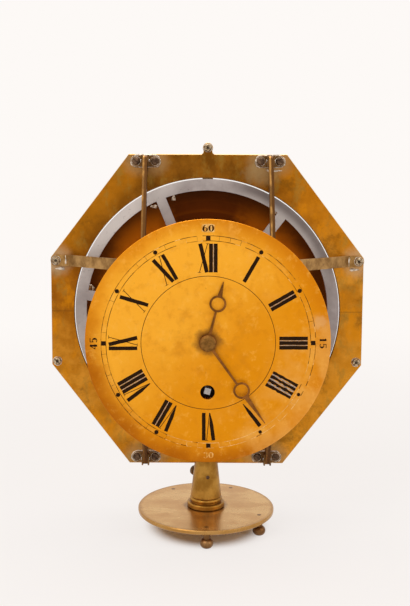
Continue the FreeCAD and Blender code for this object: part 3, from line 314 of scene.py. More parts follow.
def soft_box(name, place, width, height, power):
    """A rectangular studio lamp pointed at the clock."""
    lamp = bpy.data.lights.new(name, "AREA")
    lamp.shape = "RECTANGLE"
    lamp.size, lamp.size_y, lamp.energy, lamp.color = width, height, power, LAMP_COLOUR
    stand = bpy.data.objects.new(name, lamp)
    stand.location = place
    stand.rotation_euler = (Vector(LAMP_AIM) - Vector(place)).to_track_quat("-Z", "Y").to_euler()
    bpy.context.scene.collection.objects.link(stand)


soft_box("key_box", (-1.1, -1.2, 1.7), 1.1, 1.1, 20)
soft_box("fill_box", (1.5, -0.9, 1.0), 0.9, 1.2, 7)
soft_box("top_box", (0.0, 0.3, 2.0), 1.4, 1.0, 24)
print("three soft boxes")

# %% [markdown]
# The front dial is brass under an old orange lacquer. The lacquer is deeper at the rim and thinner
# where hands and cloths have been, so its colour follows the radius and two sizes of blotch. Near
# the hub the metal has tarnished in blotches, and right round the hub it is darker in a small halo.
# A thumb has left a pale smudge by the three. Fine turning marks and wiping scratches go to
# roughness and relief, not to colour.

# %% Lacquered brass of the dials


def lacquer(finish, centre_z, radius):
    """Colour of a lacquered dial face, with tarnish near the hub and a darker halo round it."""
    x, _, z = finish.axes()
    high = z - centre_z
    reach = (x * x + high * high) ** 0.5
    blotch = finish.cloud(46, 4.0, 0.6, shift=3.1)
    fine = finish.cloud(9, 4.0, 0.65, shift=8.4)
    lean = (high - x) * 0.7 + (blotch - 0.5) * 110
    warm = finish.mix(lean.rise(-50.0, 70.0), srgb(229, 146, 6), srgb(249, 176, 48))
    rim = (reach + (blotch - 0.5) * 30).rise(radius * 0.8, radius * 1.02)
    warm = finish.mix(rim * 0.85, warm, srgb(220, 132, 4))
    warm = finish.mix(rim * (x + high).rise(30.0, 130.0) * 0.6, warm, srgb(204, 120, 2))
    foot = ((high + x * 0.6) * -1.0 + (blotch - 0.5) * 50).rise(20.0, 100.0)
    warm = finish.mix(foot * rim * 0.9, warm, srgb(174, 94, 0))
    warm = finish.mix(fine.rise(0.5, 0.74) * 0.4, warm, srgb(212, 128, 8))
    mottled = finish.cloud(7, 4.0, 0.65, shift=33.0).rise(0.52, 0.76)
    warm = finish.mix(mottled * 0.4, warm, srgb(252, 190, 80))
    spots = finish.cloud(3.4, 2.0, 0.5, shift=17.0)
    warm = finish.mix(spots.rise(0.72, 0.8) * 0.4, warm, srgb(170, 98, 14))
    tarnish = finish.cloud(17, 3.0, 0.6, shift=14.0).rise(0.46, 0.72) * reach.rise(64.0, 26.0)
    warm = finish.mix(tarnish * 0.5, warm, srgb(204, 126, 20))
    washed = (finish.cloud(31, 4.0, 0.6, shift=29.0) + (x - high) * 0.001).rise(0.5, 0.74)
    washed = washed * reach.rise(44.0, 90.0) * x.rise(-20.0, 50.0)
    warm = finish.mix(washed * 0.5, warm, srgb(240, 178, 88))
    # Right round the hub the colour is darker in a small halo.
    halo = (reach + (fine - 0.5) * 12).rise(15.0, 8.0)
    return finish.mix(halo * 0.85, warm, srgb(146, 94, 32)), reach


gilt = Finish("lacquered_dial_brass", Metallic=0.94, Coat_Roughness=0.25)
colour, reach = lacquer(gilt, DIAL_Z, dial_half.x)
x, _, z = gilt.axes()
THUMB_X, THUMB_RISE = 101.0, 19.0
smudge = ((x - THUMB_X) ** 2 + (z - DIAL_Z - THUMB_RISE) ** 2) ** 0.5 + (gilt.cloud(6, 3.0) - 0.5) * 12
colour = gilt.mix(smudge.rise(9.5, 2.0) * 0.42, colour, srgb(226, 184, 128))
band = reach.rise(91.0, 92.5) * reach.rise(97.0, 95.5) * gilt.cloud(14, 3.0, shift=4.0).rise(0.4, 0.8)
colour = gilt.mix(band * 0.4, colour, srgb(250, 190, 84))
gilt.set("Base Color", colour)
turning = gilt.lathe_marks(reach * 2.2)
wiping = gilt.cloud(2.6, 3.0, 0.6, stretch=(0.12, 1.0, 1.0), shift=5.0)
gilt.set("Roughness", 0.34 + 0.14 * gilt.cloud(30, 3.0) + 0.08 * wiping)
gilt.set("Coat Weight", 0.12 * gilt.cloud(24, 2.0, shift=2.0))
gilt.relief(0.5 * turning + 0.5 * wiping, 0.02)
gilt.onto("front_dial")

# %% [markdown]
# The rear dial carries the same lacquer on the side that is read. Its inner side, which shows
# through the ring, was never lacquered and has gone to a dark copper brown, redder and brighter to
# both sides, with faint turned rings. Towards its rim it carries a painted shadow of the ring. One
# mesh has both sides, so the surface normal chooses between the two colours.

# %% Rear dial: lacquer outside, dark copper inside
rear = Finish("rear_dial_brass", Metallic=0.94)
outer, reach = lacquer(rear, REAR_Z, rear_half.x)
ring_marks = rear.lathe_marks(reach * 0.16, 3.0)
cloudy = rear.cloud(28, 4.0, 0.6, shift=6.0)
bright = (abs(rear.axes()[0]) + (cloudy - 0.5) * 120).rise(18.0, 92.0)
inner = rear.mix(bright, srgb(92, 40, 2), srgb(196, 106, 8))
inner = rear.mix(ring_marks.rise(0.5, 0.75) * 0.12, inner, srgb(176, 92, 6))
# Painted shadow of the ring: the inner side darkens towards its rim.
inner = rear.mix((reach + (cloudy - 0.5) * 24).rise(96.0, 120.0) * 0.9, inner, srgb(60, 28, 6))
outside = rear.facing()[1].rise(-0.2, 0.2)
rear.set("Base Color", rear.mix(outside, inner, outer))
rear.set("Roughness", 0.34 + 0.2 * cloudy)
rear.relief(ring_marks * 0.4 + rear.cloud(4, 3.0) * 0.6, 0.03)
rear.onto("rear_dial")

# %% [markdown]
# The octagonal plate was left bare and handled for years: olive brown along the top, orange and
# greyish patches below, each from a noise of its own size. Flux and solder have left pale rims
# about the lugs, and a wide stain under the upper right one. The four lugs mirror each other, so
# taking the absolute value of the height and width draws all four rims with one distance. The
# workman's scribed centre line is still there on both margins. The chamfers are lighter, partly
# from wear and partly as a painted sheen. They are found by the normal: only they face half way
# between the face and the edge.

# %% Aged plate
plate = Finish("aged_plate_brass", Metallic=0.92)
x, _, z = plate.axes()
high = z - PLATE_Z
big = plate.cloud(60, 4.0, 0.6, shift=11.0)
mid = plate.cloud(17, 4.0, 0.62, shift=4.0)
small = plate.cloud(4.5, 4.0, 0.65, shift=9.0)
patchy = mid.rise(0.35, 0.68)
olive = plate.mix(patchy, srgb(112, 66, 6), srgb(142, 88, 16))
upper = plate.mix(patchy, srgb(146, 82, 4), srgb(176, 106, 12))
lower = plate.mix(patchy, srgb(184, 116, 20), srgb(212, 144, 44))
orange = plate.mix((high - x * 0.4 + (big - 0.5) * 60).rise(-20.0, 90.0), lower, upper)
glowing = plate.cloud(24, 4.0, 0.62, stretch=(1.3, 1.0, 0.8), shift=40.0)
orange = plate.mix(glowing.rise(0.5, 0.66) * 0.65, orange, srgb(216, 136, 10))
brass = plate.mix((high - x * 0.35 + (big - 0.5) * 70).rise(50.0, 136.0), orange, olive)
brass = plate.mix((abs(x) + high).rise(176.0, 206.0) * 0.4, brass, srgb(212, 132, 10))
brass = plate.mix((x - high).rise(165.0, 200.0) * 0.4, brass, srgb(228, 152, 34))
greyed = plate.cloud(16, 5.0, 0.66, stretch=(1.4, 1.0, 0.8), shift=52.0)
brass = plate.mix(greyed.rise(0.52, 0.7) * 0.5, brass, srgb(150, 118, 48))
stain = plate.cloud(30, 5.0, 0.7, shift=21.0)
brass = plate.mix(stain.rise(0.52, 0.7) * 0.6, brass, srgb(104, 64, 8))
brass = plate.mix(small.rise(0.6, 0.75) * 0.3, brass, srgb(110, 68, 10))
front = plate.facing()[1].rise(0.2, -0.2)
past = (abs(abs(x) - LUG_X) - LUG_STRAIGHT).above(0.0)
level = abs(high) - LUG_Z
rim = (past * past + level * level) ** 0.5 - LUG_ROUND + (small - 0.5) * 5.0
brass = plate.mix(rim.rise(13.0, 1.0) * (0.2 + 0.6 * mid) * front, brass, srgb(164, 132, 88))
flux = (((x - LUG_X + 8.0) * 0.7) ** 2 + (high - LUG_Z + 11.0) ** 2) ** 0.5
flux = flux + (mid - 0.5) * 16 + (small - 0.5) * 8
brass = plate.mix(flux.rise(15.0, 6.0) * (0.2 + 0.6 * small) * front, brass, srgb(172, 144, 98))
corner = ((abs(x) - CORNER_X) ** 2 + (high - CORNER_RISE) ** 2) ** 0.5 + (small - 0.5) * 8.0
brass = plate.mix(corner.rise(20.0, 7.0) * (0.2 + 0.7 * mid) * front, brass, srgb(186, 160, 124))
scribed = abs(high).rise(0.45, 0.15) * abs(x).rise(124.0, 126.0)
brass = plate.mix(scribed * (0.3 + 0.5 * mid), brass, srgb(70, 44, 16))
# Chamfers: lighter from real wear, and lighter still as a painted sheen.
edge = abs(plate.facing()[1])
worn = edge.rise(0.35, 0.5) * edge.rise(0.95, 0.85)
brass = plate.mix(worn * 0.8, brass, srgb(196, 152, 72))
plate.set("Base Color", brass)
plate.set("Roughness", 0.36 + 0.2 * mid - 0.1 * worn)
plate.relief(plate.cloud(2.2, 4.0, 0.6, stretch=(1.0, 1.0, 0.25)) * 0.6 + small * 0.4, 0.03)
plate.onto("octagon_plate")

# %% [markdown]
# The six-spoked ring is steel, filed and rubbed with emery, cool grey beside the warm brass. Emery
# leaves short straight scratches. Two noises, each stretched along a different direction, cross as
# such scratches do. It is lighter towards the left, most at the upper left, and at the upper right
# it is darker along the outer edge and lighter inside it.

# %% Ring steel
steel = Finish("rubbed_ring_steel", Metallic=0.75)
emery = steel.cloud(1.6, 3.0, 0.6, stretch=(0.1, 1.0, 1.0), shift=1.0) * 0.5
emery = emery + steel.cloud(1.6, 3.0, 0.6, stretch=(1.0, 1.0, 0.14), shift=7.0) * 0.5
cool = steel.cloud(34, 4.0, 0.6, shift=2.0)
grey = steel.mix(cool.rise(0.35, 0.68), srgb(150, 139, 136), srgb(182, 172, 168))
x, _, z = steel.axes()
high = z - PLATE_Z
# Lighter towards the left, most at the upper left; at the upper right darker along the outer edge.
grey = steel.mix((high * -1.0 - x).rise(60.0, 200.0) * 0.6, grey, srgb(196, 188, 184))
grey = steel.mix((high - x).rise(130.0, 172.0) * 0.85, grey, srgb(216, 207, 201))
outer = ((x * x + high * high) ** 0.5).rise(ring_half.x - 13.0, ring_half.x - 3.0)
upper_right = high.rise(20.0, 70.0) * x.rise(5.0, 50.0)
grey = steel.mix(outer * upper_right * 0.6, grey, srgb(96, 84, 78))
grey = steel.mix((1.0 - outer) * upper_right * 0.6, grey, srgb(206, 198, 192))
grey = steel.mix(steel.cloud(6, 4.0, 0.7, shift=5.0).rise(0.6, 0.74) * 0.55, grey, srgb(112, 102, 100))
steel.set("Base Color", grey)
steel.set("Roughness", 0.34 + 0.2 * emery)
steel.relief(emery, 0.02)
steel.onto("spider_ring")

# %% [markdown]
# The base disc is paler, rubbed almost clean, with pinkish cleaning marks. The column is turned
# brass that was polished and then left: darker, with fine rings round it and dark grime gathered in
# its grooves.

# %% Base and column
tan = Finish("rubbed_base_brass", Metallic=0.8)
x, y, _ = tan.axes()
out = (x * x + y * y) ** 0.5
wash = tan.cloud(38, 4.0, 0.6, stretch=(1.0, 1.6, 1.0), shift=2.0)
speck = tan.cloud(5, 4.0, 0.65, shift=6.0)
pale = tan.mix(wash.rise(0.34, 0.68), srgb(196, 144, 74), srgb(222, 178, 112))
pale = tan.mix(speck.rise(0.58, 0.76) * 0.4, pale, srgb(172, 122, 58))
# The disc is darker in a ring round the foot of the column.
pale = tan.mix((out + (wash - 0.5) * 8).rise(23.0, 18.5) * 0.7, pale, srgb(116, 78, 40))
pale = tan.mix((out + (speck - 0.5) * 5).rise(62.0, 66.0) * 0.6, pale, srgb(156, 106, 38))
tan.set("Base Color", pale)
tan.set("Roughness", 0.16 + 0.2 * wash)
tan.relief(tan.cloud(2.0, 3.0, 0.6, stretch=(1.0, 0.2, 1.0)) * 0.6 + speck * 0.4, 0.02)
tan.onto("base_disc")


def turned_brass(name, dark, light, grime):
    """Lathe-turned brass: fine rings along the axis, and clouds of tarnish."""
    finish = Finish(name, Metallic=0.86)
    rings = finish.lathe_marks(finish.axes()[2] * 1.6)
    tarnish = finish.cloud(13, 4.0, 0.62, shift=3.0)
    grains = finish.cloud(3.0, 4.0, 0.65, shift=8.0)
    colour = finish.mix(tarnish.rise(0.34, 0.68), dark, light)
    colour = finish.mix(grains.rise(0.58, 0.74) * 0.55, colour, grime)
    finish.set("Base Color", colour)
    finish.set("Roughness", 0.24 + 0.22 * tarnish + 0.08 * rings)
    finish.relief(rings * 0.5 + grains * 0.5, 0.03)
    return finish


column_brass = turned_brass("turned_column_brass", srgb(148, 102, 32), srgb(188, 140, 60), srgb(92, 60, 16))
column_brass.onto("column", "swivel_post", "clamp_pad")
foot_brass = turned_brass("foot_brass", srgb(108, 72, 36), srgb(152, 112, 70), srgb(66, 42, 20))
foot_brass.onto("ball_feet")
knob_brass = turned_brass("thumbscrew_brass", srgb(84, 60, 36), srgb(128, 94, 54), srgb(56, 38, 20))
knob_brass.onto("thumbscrew")

# %% [markdown]
# The small strips and lugs were cut from sheet brass and filed, so their scratches run along the
# strip. The hands are a redder bronze, the movement plates a clear grained yellow. One function
# gives all of these, each with its own two colours, direction of grain and colour of grime. The
# four long arms have a painted highlight in patches along their left side, and painted shade on
# the rest.

# %% Sheet brass


def sheet_brass(name, dark, light, grime, stretch, size=12.0, shine=0.3):
    """Filed or grained sheet metal: clouds of colour under straight scratches."""
    finish = Finish(name, Metallic=0.84)
    cloudy = finish.cloud(size, 4.0, 0.62, shift=4.0)
    grain = finish.cloud(1.3, 3.0, 0.6, stretch=stretch, shift=1.0)
    grains = finish.cloud(size * 0.3, 4.0, 0.65, shift=12.0)
    colour = finish.mix(cloudy.rise(0.34, 0.68), dark, light)
    colour = finish.mix(grains.rise(0.56, 0.74) * 0.6, colour, grime)
    finish.set("Base Color", colour)
    finish.set("Roughness", shine + 0.2 * cloudy + 0.1 * grain)
    finish.relief(grain * 0.7 + grains * 0.3, 0.03)
    return finish


ALONG, ACROSS, UPRIGHT, NO_GRAIN = (1.0, 0.1, 0.3), (0.2, 1.0, 1.0), (1.0, 1.0, 0.2), (1.0, 1.0, 1.0)
filed_brass = sheet_brass("filed_arm_brass", srgb(132, 94, 44), srgb(184, 142, 84), srgb(88, 60, 28), ALONG)
filed_brass.onto("side_arms", "ring_straps", "rear_dial_posts")
arm = sheet_brass("lit_and_shaded_arm_brass", srgb(108, 70, 26), srgb(154, 108, 52), srgb(70, 44, 18), ALONG)
# Painted light: each arm is lit in patches along its left side, and painted in shade elsewhere.
x, _, _ = arm.axes()
off_middle = x - LUG_X * (2.0 * x.rise(-1.0, 1.0) - 1.0)
sunny = (off_middle + (arm.cloud(9, 3.0) - 0.5) * 1.6).rise(0.2, -1.0)
lit_patches = 0.25 + 0.65 * arm.cloud(16, 3.0, shift=6.0).rise(0.45, 0.62)
arm.set("Base Color", arm.mix(sunny * lit_patches, srgb(90, 56, 20), srgb(182, 134, 70)))
arm.onto("edge_arms")
lug_brass = sheet_brass("lug_brass", srgb(92, 62, 28), srgb(142, 104, 60), srgb(52, 32, 14), ACROSS, 7.0)
lug_brass.onto("arm_brackets", "corner_nuts")
hand_bronze = sheet_brass(
    "hand_bronze", srgb(108, 64, 18), srgb(152, 94, 36), srgb(72, 40, 10), UPRIGHT, 9.0
)
hand_bronze.onto("front_hour_hand", "front_minute_hand", "rear_hour_hand", "rear_minute_hand")
hub_bronze = sheet_brass(
    "hub_bronze", srgb(118, 80, 30), srgb(152, 106, 48), srgb(80, 52, 20), NO_GRAIN, 3.0, 0.48
)
hub_bronze.onto("front_hand_nut", "rear_hand_nut", "centre_arbor", "rear_arbor")
FINE_ACROSS = (0.12, 1.0, 1.0)
movement_brass = sheet_brass(
    "grained_movement_brass", srgb(186, 138, 56), srgb(220, 176, 88), srgb(150, 104, 42), FINE_ACROSS, 20.0
)
movement_brass.onto(
    "back_plate", "front_plate", "movement_pillars", "bridge_pillars", "rear_bridge", "hairspring_stud",
    "barrel", "barrel_cover", "intermediate_wheel", "centre_wheel", "third_wheel", "escape_wheel",
    "balance_wheel", "reversing_driver", "reversing_follower", "front_minute_wheel", "front_hour_wheel",
    "rear_minute_wheel", "rear_hour_wheel",
)

# %% [markdown]
# Steel comes in several states here. The winding square, cannons and pins are polished bright.
# Screws have gone brown with age and grime. The five screws at the edge are rubbed bright round a
# dark middle, found by the distance to the nearest screw's axis. The ratchet and its click are
# given a near black colour that is painted shade, so the winding hole stays dark round the bright
# square. The two coil springs keep the blue of their tempering.

# %% Steels
DEEP = (1.0, 0.2, 1.0)
arbor_steel = sheet_brass(
    "polished_arbor_steel", srgb(170, 166, 164), srgb(206, 202, 198), srgb(120, 112, 106), DEEP, 8.0, 0.2
)
arbor_steel.onto("winding_arbor", "front_cannon", "rear_cannon", "pallet_lever", "motion_studs", "arm_pins")
screw_steel = sheet_brass(
    "browned_screw_steel", srgb(70, 50, 36), srgb(122, 94, 70), srgb(40, 26, 18), NO_GRAIN, 4.0
)
screw_steel.onto("bracket_screws", "frame_screws", "saddle_screws", "column_bolt", "keeper_screw")
edge_screw = sheet_brass(
    "edge_screw_steel", srgb(120, 96, 64), srgb(190, 164, 126), srgb(60, 42, 24), NO_GRAIN, 3.0
)
x, _, z = edge_screw.axes()
corner = ((abs(x) - CORNER_X) ** 2 + (abs(z - PLATE_Z) - CORNER_RISE) ** 2) ** 0.5
middle = corner.below((x * x + (z - EAR_Z) ** 2) ** 0.5)
head = edge_screw.mix(edge_screw.cloud(2.0, 3.0).rise(0.4, 0.65), srgb(124, 98, 66), srgb(214, 194, 162))
edge_screw.set("Base Color", edge_screw.mix(middle.rise(2.0, 1.0) * 0.85, head, srgb(46, 30, 18)))
edge_screw.onto("corner_screws")
# Painted shade: the ratchet and click are near black so that the winding hole looks dark.
black_steel = sheet_brass(
    "shade_black_ratchet_steel", srgb(26, 22, 20), srgb(48, 42, 38), srgb(18, 14, 12), DEEP, 5.0
)
black_steel.onto("ratchet_wheel", "click")
blue_steel = sheet_brass(
    "blued_spring_steel", srgb(34, 40, 78), srgb(58, 66, 112), srgb(30, 28, 40), DEEP, 6.0, 0.22
)
blue_steel.onto("mainspring", "hairspring")

# %% [markdown]
# The dial's figures are cut into the brass and filled with black wax. A flat mesh a tenth of a
# millimetre proud of the face shows the same edge, and stays sharp at any distance, which a painted
# texture would not. Each figure is a handful of straight strokes, so one function turns a list of
# flat polygons into a thin closed mesh.

# %% Thin inlays
SUNK = 0.05


def inlay(name, polygons, material, centre_z, face, side, thickness):
    """Thin prisms on a dial's face, from polygons as a reader of that dial sees them."""
    points, faces = [], []
    for polygon in polygons:
        start, count = len(points), len(polygon)
        for depth in (-SUNK, thickness):
            y = (face + side * depth) * MM
            points += [(-side * u * MM, y, (centre_z + v) * MM) for u, v in polygon]
        faces.append(tuple(start + k for k in range(count)))
        faces.append(tuple(start + count + k for k in reversed(range(count))))
        for k in range(count):
            a, b = start + k, start + (k + 1) % count
            faces.append((a, a + count, b + count, b))
    mesh = bpy.data.meshes.new(name)
    mesh.from_pydata(points, [], faces)
    mesh.validate()
    mesh.update()
    mesh.materials.append(material)
    piece = bpy.data.objects.new(name, mesh)
    bpy.context.scene.collection.objects.link(piece)
    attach(piece, "head")
    print(name, len(polygons), "strokes")


def turn_to(point, degrees):
    """A point turned clockwise about the dial's centre, twelve at the top."""
    u, v = point
    a = math.radians(degrees)
    return u * math.cos(a) + v * math.sin(a), v * math.cos(a) - u * math.sin(a)


def stroke(low, high, width, ragged=0.0, dice=None, foot=1.0):
    """A straight pen stroke. Chipped wax makes its edges ragged, and its foot may be thinner."""
    along = Vector((high[0] - low[0], high[1] - low[1]))
    across = Vector((along.y, -along.x)).normalized() * (width / 2)
    steps = 10 if ragged else 1
    right, left = [], []
    for k in range(steps + 1):
        middle = Vector(low) + along * (k / steps)
        taper = foot + (1 - foot) * min(1.0, k / steps / 0.4)
        for edge, sign in ((right, 1), (left, -1)):
            chip = 1 - ragged * dice.random() if ragged else 1.0
            edge.append(tuple(middle + across * sign * chip * taper))
    return right + left[::-1]


def arc(radius, width, start, end):
    """A piece of a circle line between two angles clockwise from the top."""
    steps = max(1, round((end - start) / 2.5))
    angles = [start + (end - start) * k / steps for k in range(steps + 1)]
    outer = [turn_to((0, radius + width / 2), a) for a in angles]
    inner = [turn_to((0, radius - width / 2), a) for a in reversed(angles)]
    return outer + inner


# %% [markdown]
# Wax shrinks and chips, and the brass floor of the cut shows through as a pale brown. The black wax
# therefore mixes toward that brown where a fine noise is high. Places where the wax has gone
# altogether are left as yellow scratches along the minute track. The almost white threads between
# the bars of the figures are a painted highlight.

# %% Wax and bare cuts
MATT = {"Specular_IOR_Level": 0.08}


def crumbling(name, noise, ends, share, dark, pale, dull, **constants):
    """A dark colour that mixes toward a pale one where a fine noise is high, and that noise."""
    finish = Finish(name, **constants)
    size, detail, roughness, shift = noise
    crumbs = finish.cloud(size, detail, roughness, shift=shift)
    finish.set("Base Color", finish.mix(crumbs.rise(*ends) * share, srgb(*dark), srgb(*pale)))
    finish.set("Roughness", dull[0] + dull[1] * crumbs)
    return finish, crumbs


wax, crumbs = crumbling(
    "black_wax", (1.6, 4.0, 0.7, 3.0), (0.6, 0.76), 0.5, (38, 20, 3), (116, 70, 12), (0.45, 0.3), **MATT
)
wax.relief(crumbs, 0.05)
brown_wax, _ = crumbling(
    "brown_wax", (3.0, 3.0, 0.7, 5.0), (0.5, 0.7), 0.6, (62, 32, 6), (150, 88, 14), (0.5, 0.2), **MATT
)
thin_wax, _ = crumbling(
    "thin_wax", (7.0, 4.0, 0.75, 6.0), (0.42, 0.62), 0.85, (58, 30, 6), (214, 138, 26), (0.5, 0.2), **MATT
)
# The pale threads between the bars of the figures are a painted highlight.
painted_thread_highlight, _ = crumbling(
    "painted_thread_highlight", (2.2, 3.0, 0.7, 9.0), (0.4, 0.65), 1.0, (152, 130, 110), (196, 178, 164), (0.5, 0.3),
    Metallic=0.2,
)
worn_line, _ = crumbling(
    "worn_line", (4.0, 3.0, 0.7, 2.0), (0.4, 0.65), 1.0, (220, 152, 52), (246, 200, 122), (0.4, 0.3),
    Metallic=0.4,
)
print("black_wax, brown_wax, thin_wax, painted_thread_highlight, worn_line")

# %% [markdown]
# The hour figures are Roman, four written with four strokes, each with its foot towards the centre.
# A figure is spelled from three letters: a thick stroke for I, thick and hairline for V and X. The
# thick stroke of the V comes to a point at its foot, and hairlines end in small bars. Between
# neighbouring thick strokes a pale thread is a painted highlight.

# %% Hour figures
FIGURES = ("XII", "I", "II", "III", "IIII", "V", "VI", "VII", "VIII", "IX", "X", "XI")
FOOT, HEAD = 63.5, 89.0
ADVANCE = {"I": 4.2, "V": 8.2, "X": 9.0}
THICK, HAIR, SERIF, SERIF_HALF = 3.55, 0.62, 0.4, 1.5
WORN_CHIP, CHIP = 0.55, 0.12


def hour_figures(scale, wear):
    """Strokes of all twelve figures: black wax, hairlines, and pale threads of painted highlight."""
    dice = random.Random(12)
    black, hair, threads = [], [], []
    for hour, letters in enumerate(FIGURES):
        width = sum(ADVANCE[c] for c in letters)
        at = -width / 2
        previous = None
        for letter in letters:
            middle = at + ADVANCE[letter] / 2
            at += ADVANCE[letter]
            chip = WORN_CHIP if hour == 4 and wear else CHIP
            if letter == "I":
                bar, foot = ((middle, FOOT), (middle, HEAD), THICK), 1.0
                # A pale thread between two thick I strokes is a painted highlight.
                if previous == "I":
                    seam = middle - ADVANCE["I"] / 2
                    gap = 1.2 if chip == WORN_CHIP else 0.5
                    threads.append((stroke((seam, FOOT + 0.4), (seam, HEAD - 0.4), gap), hour))
            elif letter == "V":
                bar, foot = ((middle + 0.7, FOOT), (middle - 2.6, HEAD), THICK), 0.15
                thin = ((middle + 1.0, FOOT), (middle + 3.6, HEAD))
            else:
                bar, foot = ((middle + 3.0, FOOT), (middle - 3.0, HEAD), THICK + 0.1), 1.0
                thin = ((middle - 3.6, FOOT), (middle + 3.6, HEAD))
            black.append((stroke(*bar, chip, dice, foot), hour))
            if letter in "VX" and not (wear and hour == 5):
                hair.append((stroke(*thin, HAIR), hour))
                ends = [thin[1]] if letter == "V" else list(thin)
                for u, v in ends:
                    hair.append((stroke((u - SERIF_HALF, v), (u + SERIF_HALF, v), SERIF), hour))
            previous = letter
    finished = []
    for group in (black, hair, threads):
        turned = []
        for shape, hour in group:
            turned.append([turn_to((u * scale, v * scale), hour * 30) for u, v in shape])
        finished.append(turned)
    return finished


# %% [markdown]
# Round the figures run two circles with a mark for each minute between them, dots at every fifth
# minute and small squares at the quarters. On the front dial the wax has left the lower right of
# this track, so each short piece of line is drawn as wax, as a bare cut, or not at all, by a chance
# that depends on where it lies.

# %% Minute track
TRACK_IN, TRACK_OUT, CHAPTER = 91.5, 96.0, 60.2
LINE, MARK = 0.5, 0.24
QUARTER_HALF, DOT, WORN_DOT = 2.0, 1.9, 1.6


def minute_track(scale, wear):
    """Circles, minute marks, dots and squares: (wax lines, bare lines, black spots)."""
    dice = random.Random(60)
    lines, bare, spots = [], [], []

    def draw(shape, lost, pale):
        roll = dice.random()
        if roll > lost + pale:
            lines.append(shape)
        elif roll > lost:
            bare.append(shape)

    for minute in range(60):
        angle = minute * 6.0
        lost, pale = 0.0, 0.0
        if wear:
            lost, pale = (0.0, 0.03) if 204 <= angle <= 330 else (0.05, 0.14)
            if 96 < angle < 204:
                lost, pale = (0.35, 0.3) if angle < 120 else (0.1, 0.8)
        for radius in (TRACK_IN, TRACK_OUT):
            for half in (0.0, 3.0):
                draw(arc(radius * scale, LINE, angle + half, angle + half + 3.0), lost, pale)
        if minute % 5:
            ends = [turn_to((0, r * scale), angle) for r in (TRACK_IN, TRACK_OUT)]
            draw(stroke(*ends, MARK), min(0.9, lost + (0.5 if wear else 0.0)), pale * 0.5)
        middle = (TRACK_IN + TRACK_OUT) / 2
        if minute % 15 == 0:
            low, high = middle - QUARTER_HALF, middle + QUARTER_HALF
            right, left = QUARTER_HALF, -QUARTER_HALF
            square = [(left, low), (right, low), (right, high), (left, high)]
            spots.append([turn_to((u * scale, v * scale), angle) for u, v in square])
        elif minute % 5 == 0:
            size = WORN_DOT if wear and angle in (120.0, 150.0) else DOT
            turns = [k * math.tau / 20 for k in range(20)]
            dot = [(size * math.cos(t), middle + size * math.sin(t)) for t in turns]
            spots.append([turn_to((u * scale, v * scale), angle) for u, v in dot])
    return lines, bare, spots


# %% [markdown]
# Outside the track each quarter has its number of minutes, wide and low at the top, taller at the
# sides. The digits were penned with a broad nib, thick down the sides of an oval and thin across
# its top. Each is a few straight strokes and parts of ovals in a box one unit high. On the front
# dial the top number has been rubbed until its ground is pale and its wax brown.

# %% Quarter numbers


def bow(cu, cv, half_u, half_v, thick, start, end):
    """Part of an oval drawn with a broad nib, between two angles clockwise from its top."""
    steps = max(4, round((end - start) / 15))
    turns = [math.radians(start + (end - start) * k / steps) for k in range(steps + 1)]
    outer = [(cu + half_u * math.sin(t), cv + half_v * math.cos(t)) for t in turns]
    in_u, in_v = half_u - thick, half_v - thick * 0.3
    inner = [(cu + in_u * math.sin(t), cv + in_v * math.cos(t)) for t in reversed(turns)]
    return outer + inner


def oval(*shape):
    """A whole oval, in two halves."""
    return [bow(*shape, 0, 180), bow(*shape, 180, 360)]


DIGITS = {
    "0": oval(0, 0, 0.36, 0.5, 0.24),
    "1": [
        stroke((0, -0.5), (0, 0.5), 0.24),
        stroke((-0.2, 0.32), (0.02, 0.46), 0.08),
        stroke((-0.16, -0.47), (0.16, -0.47), 0.07),
    ],
    "3": [bow(-0.02, 0.23, 0.28, 0.27, 0.18, -70, 170), bow(-0.02, -0.2, 0.33, 0.3, 0.2, 10, 250)],
    "4": [
        stroke((0.1, -0.5), (0.1, 0.5), 0.24),
        stroke((-0.32, -0.2), (0.06, 0.5), 0.08),
        stroke((-0.34, -0.2), (0.3, -0.2), 0.09),
    ],
    "5": [
        stroke((-0.2, 0.46), (0.27, 0.46), 0.1),
        stroke((-0.2, 0.06), (-0.19, 0.48), 0.08),
        bow(-0.02, -0.16, 0.34, 0.34, 0.23, -50, 230),
    ],
    "6": oval(0, -0.18, 0.35, 0.32, 0.23) + [bow(0.1, -0.16, 0.45, 0.66, 0.22, 270, 352)],
}


def quarter_number(words, angle, lean, radius, height, stretch):
    """Polygons of a number of two digits beside the track."""
    home = turn_to((0, radius), angle)
    shapes = []
    for digit, shift in zip(words, (-0.38, 0.38)):
        for shape in DIGITS[digit]:
            turned = [turn_to(((u + shift) * height * stretch, v * height), lean) for u, v in shape]
            shapes.append([(u + home[0], v + home[1]) for u, v in turned])
    return shapes


def rubbed_patch(angle, radius, half_u, half_v):
    """A small oblong with round corners where a number was rubbed bright."""
    home = turn_to((0, radius), angle)
    shape = []
    for k in range(32):
        level, upright = math.cos(math.tau * k / 32), math.sin(math.tau * k / 32)
        u = half_u * math.copysign(abs(level) ** 0.5, level)
        v = half_v * math.copysign(abs(upright) ** 0.5, upright)
        shape.append((u + home[0], v + home[1]))
    return shape


NUMBER_CIRCLE, PATCH_WIDE, PATCH_HIGH = 102.6, 6.1, 3.7
NUMBERS = (
    ("60", 0, 0, 5.9, 1.2),
    ("15", 90, 90, 6.0, 1.15),
    ("30", 180, 0, 5.6, 1.15),
    ("45", 270, 270, 6.6, 1.1),
)
print("digits penned:", len(DIGITS))

# %% [markdown]
# With all its kinds of line ready, a dial is engraved by one call. The engraver set the front dial
# out by hand, a third of a degree askew and less than a millimetre off. The rear dial gets the same
# artwork, scaled to its own radius and free from wear, because no light and few hands have reached
# it.

# %% Engrave both dials


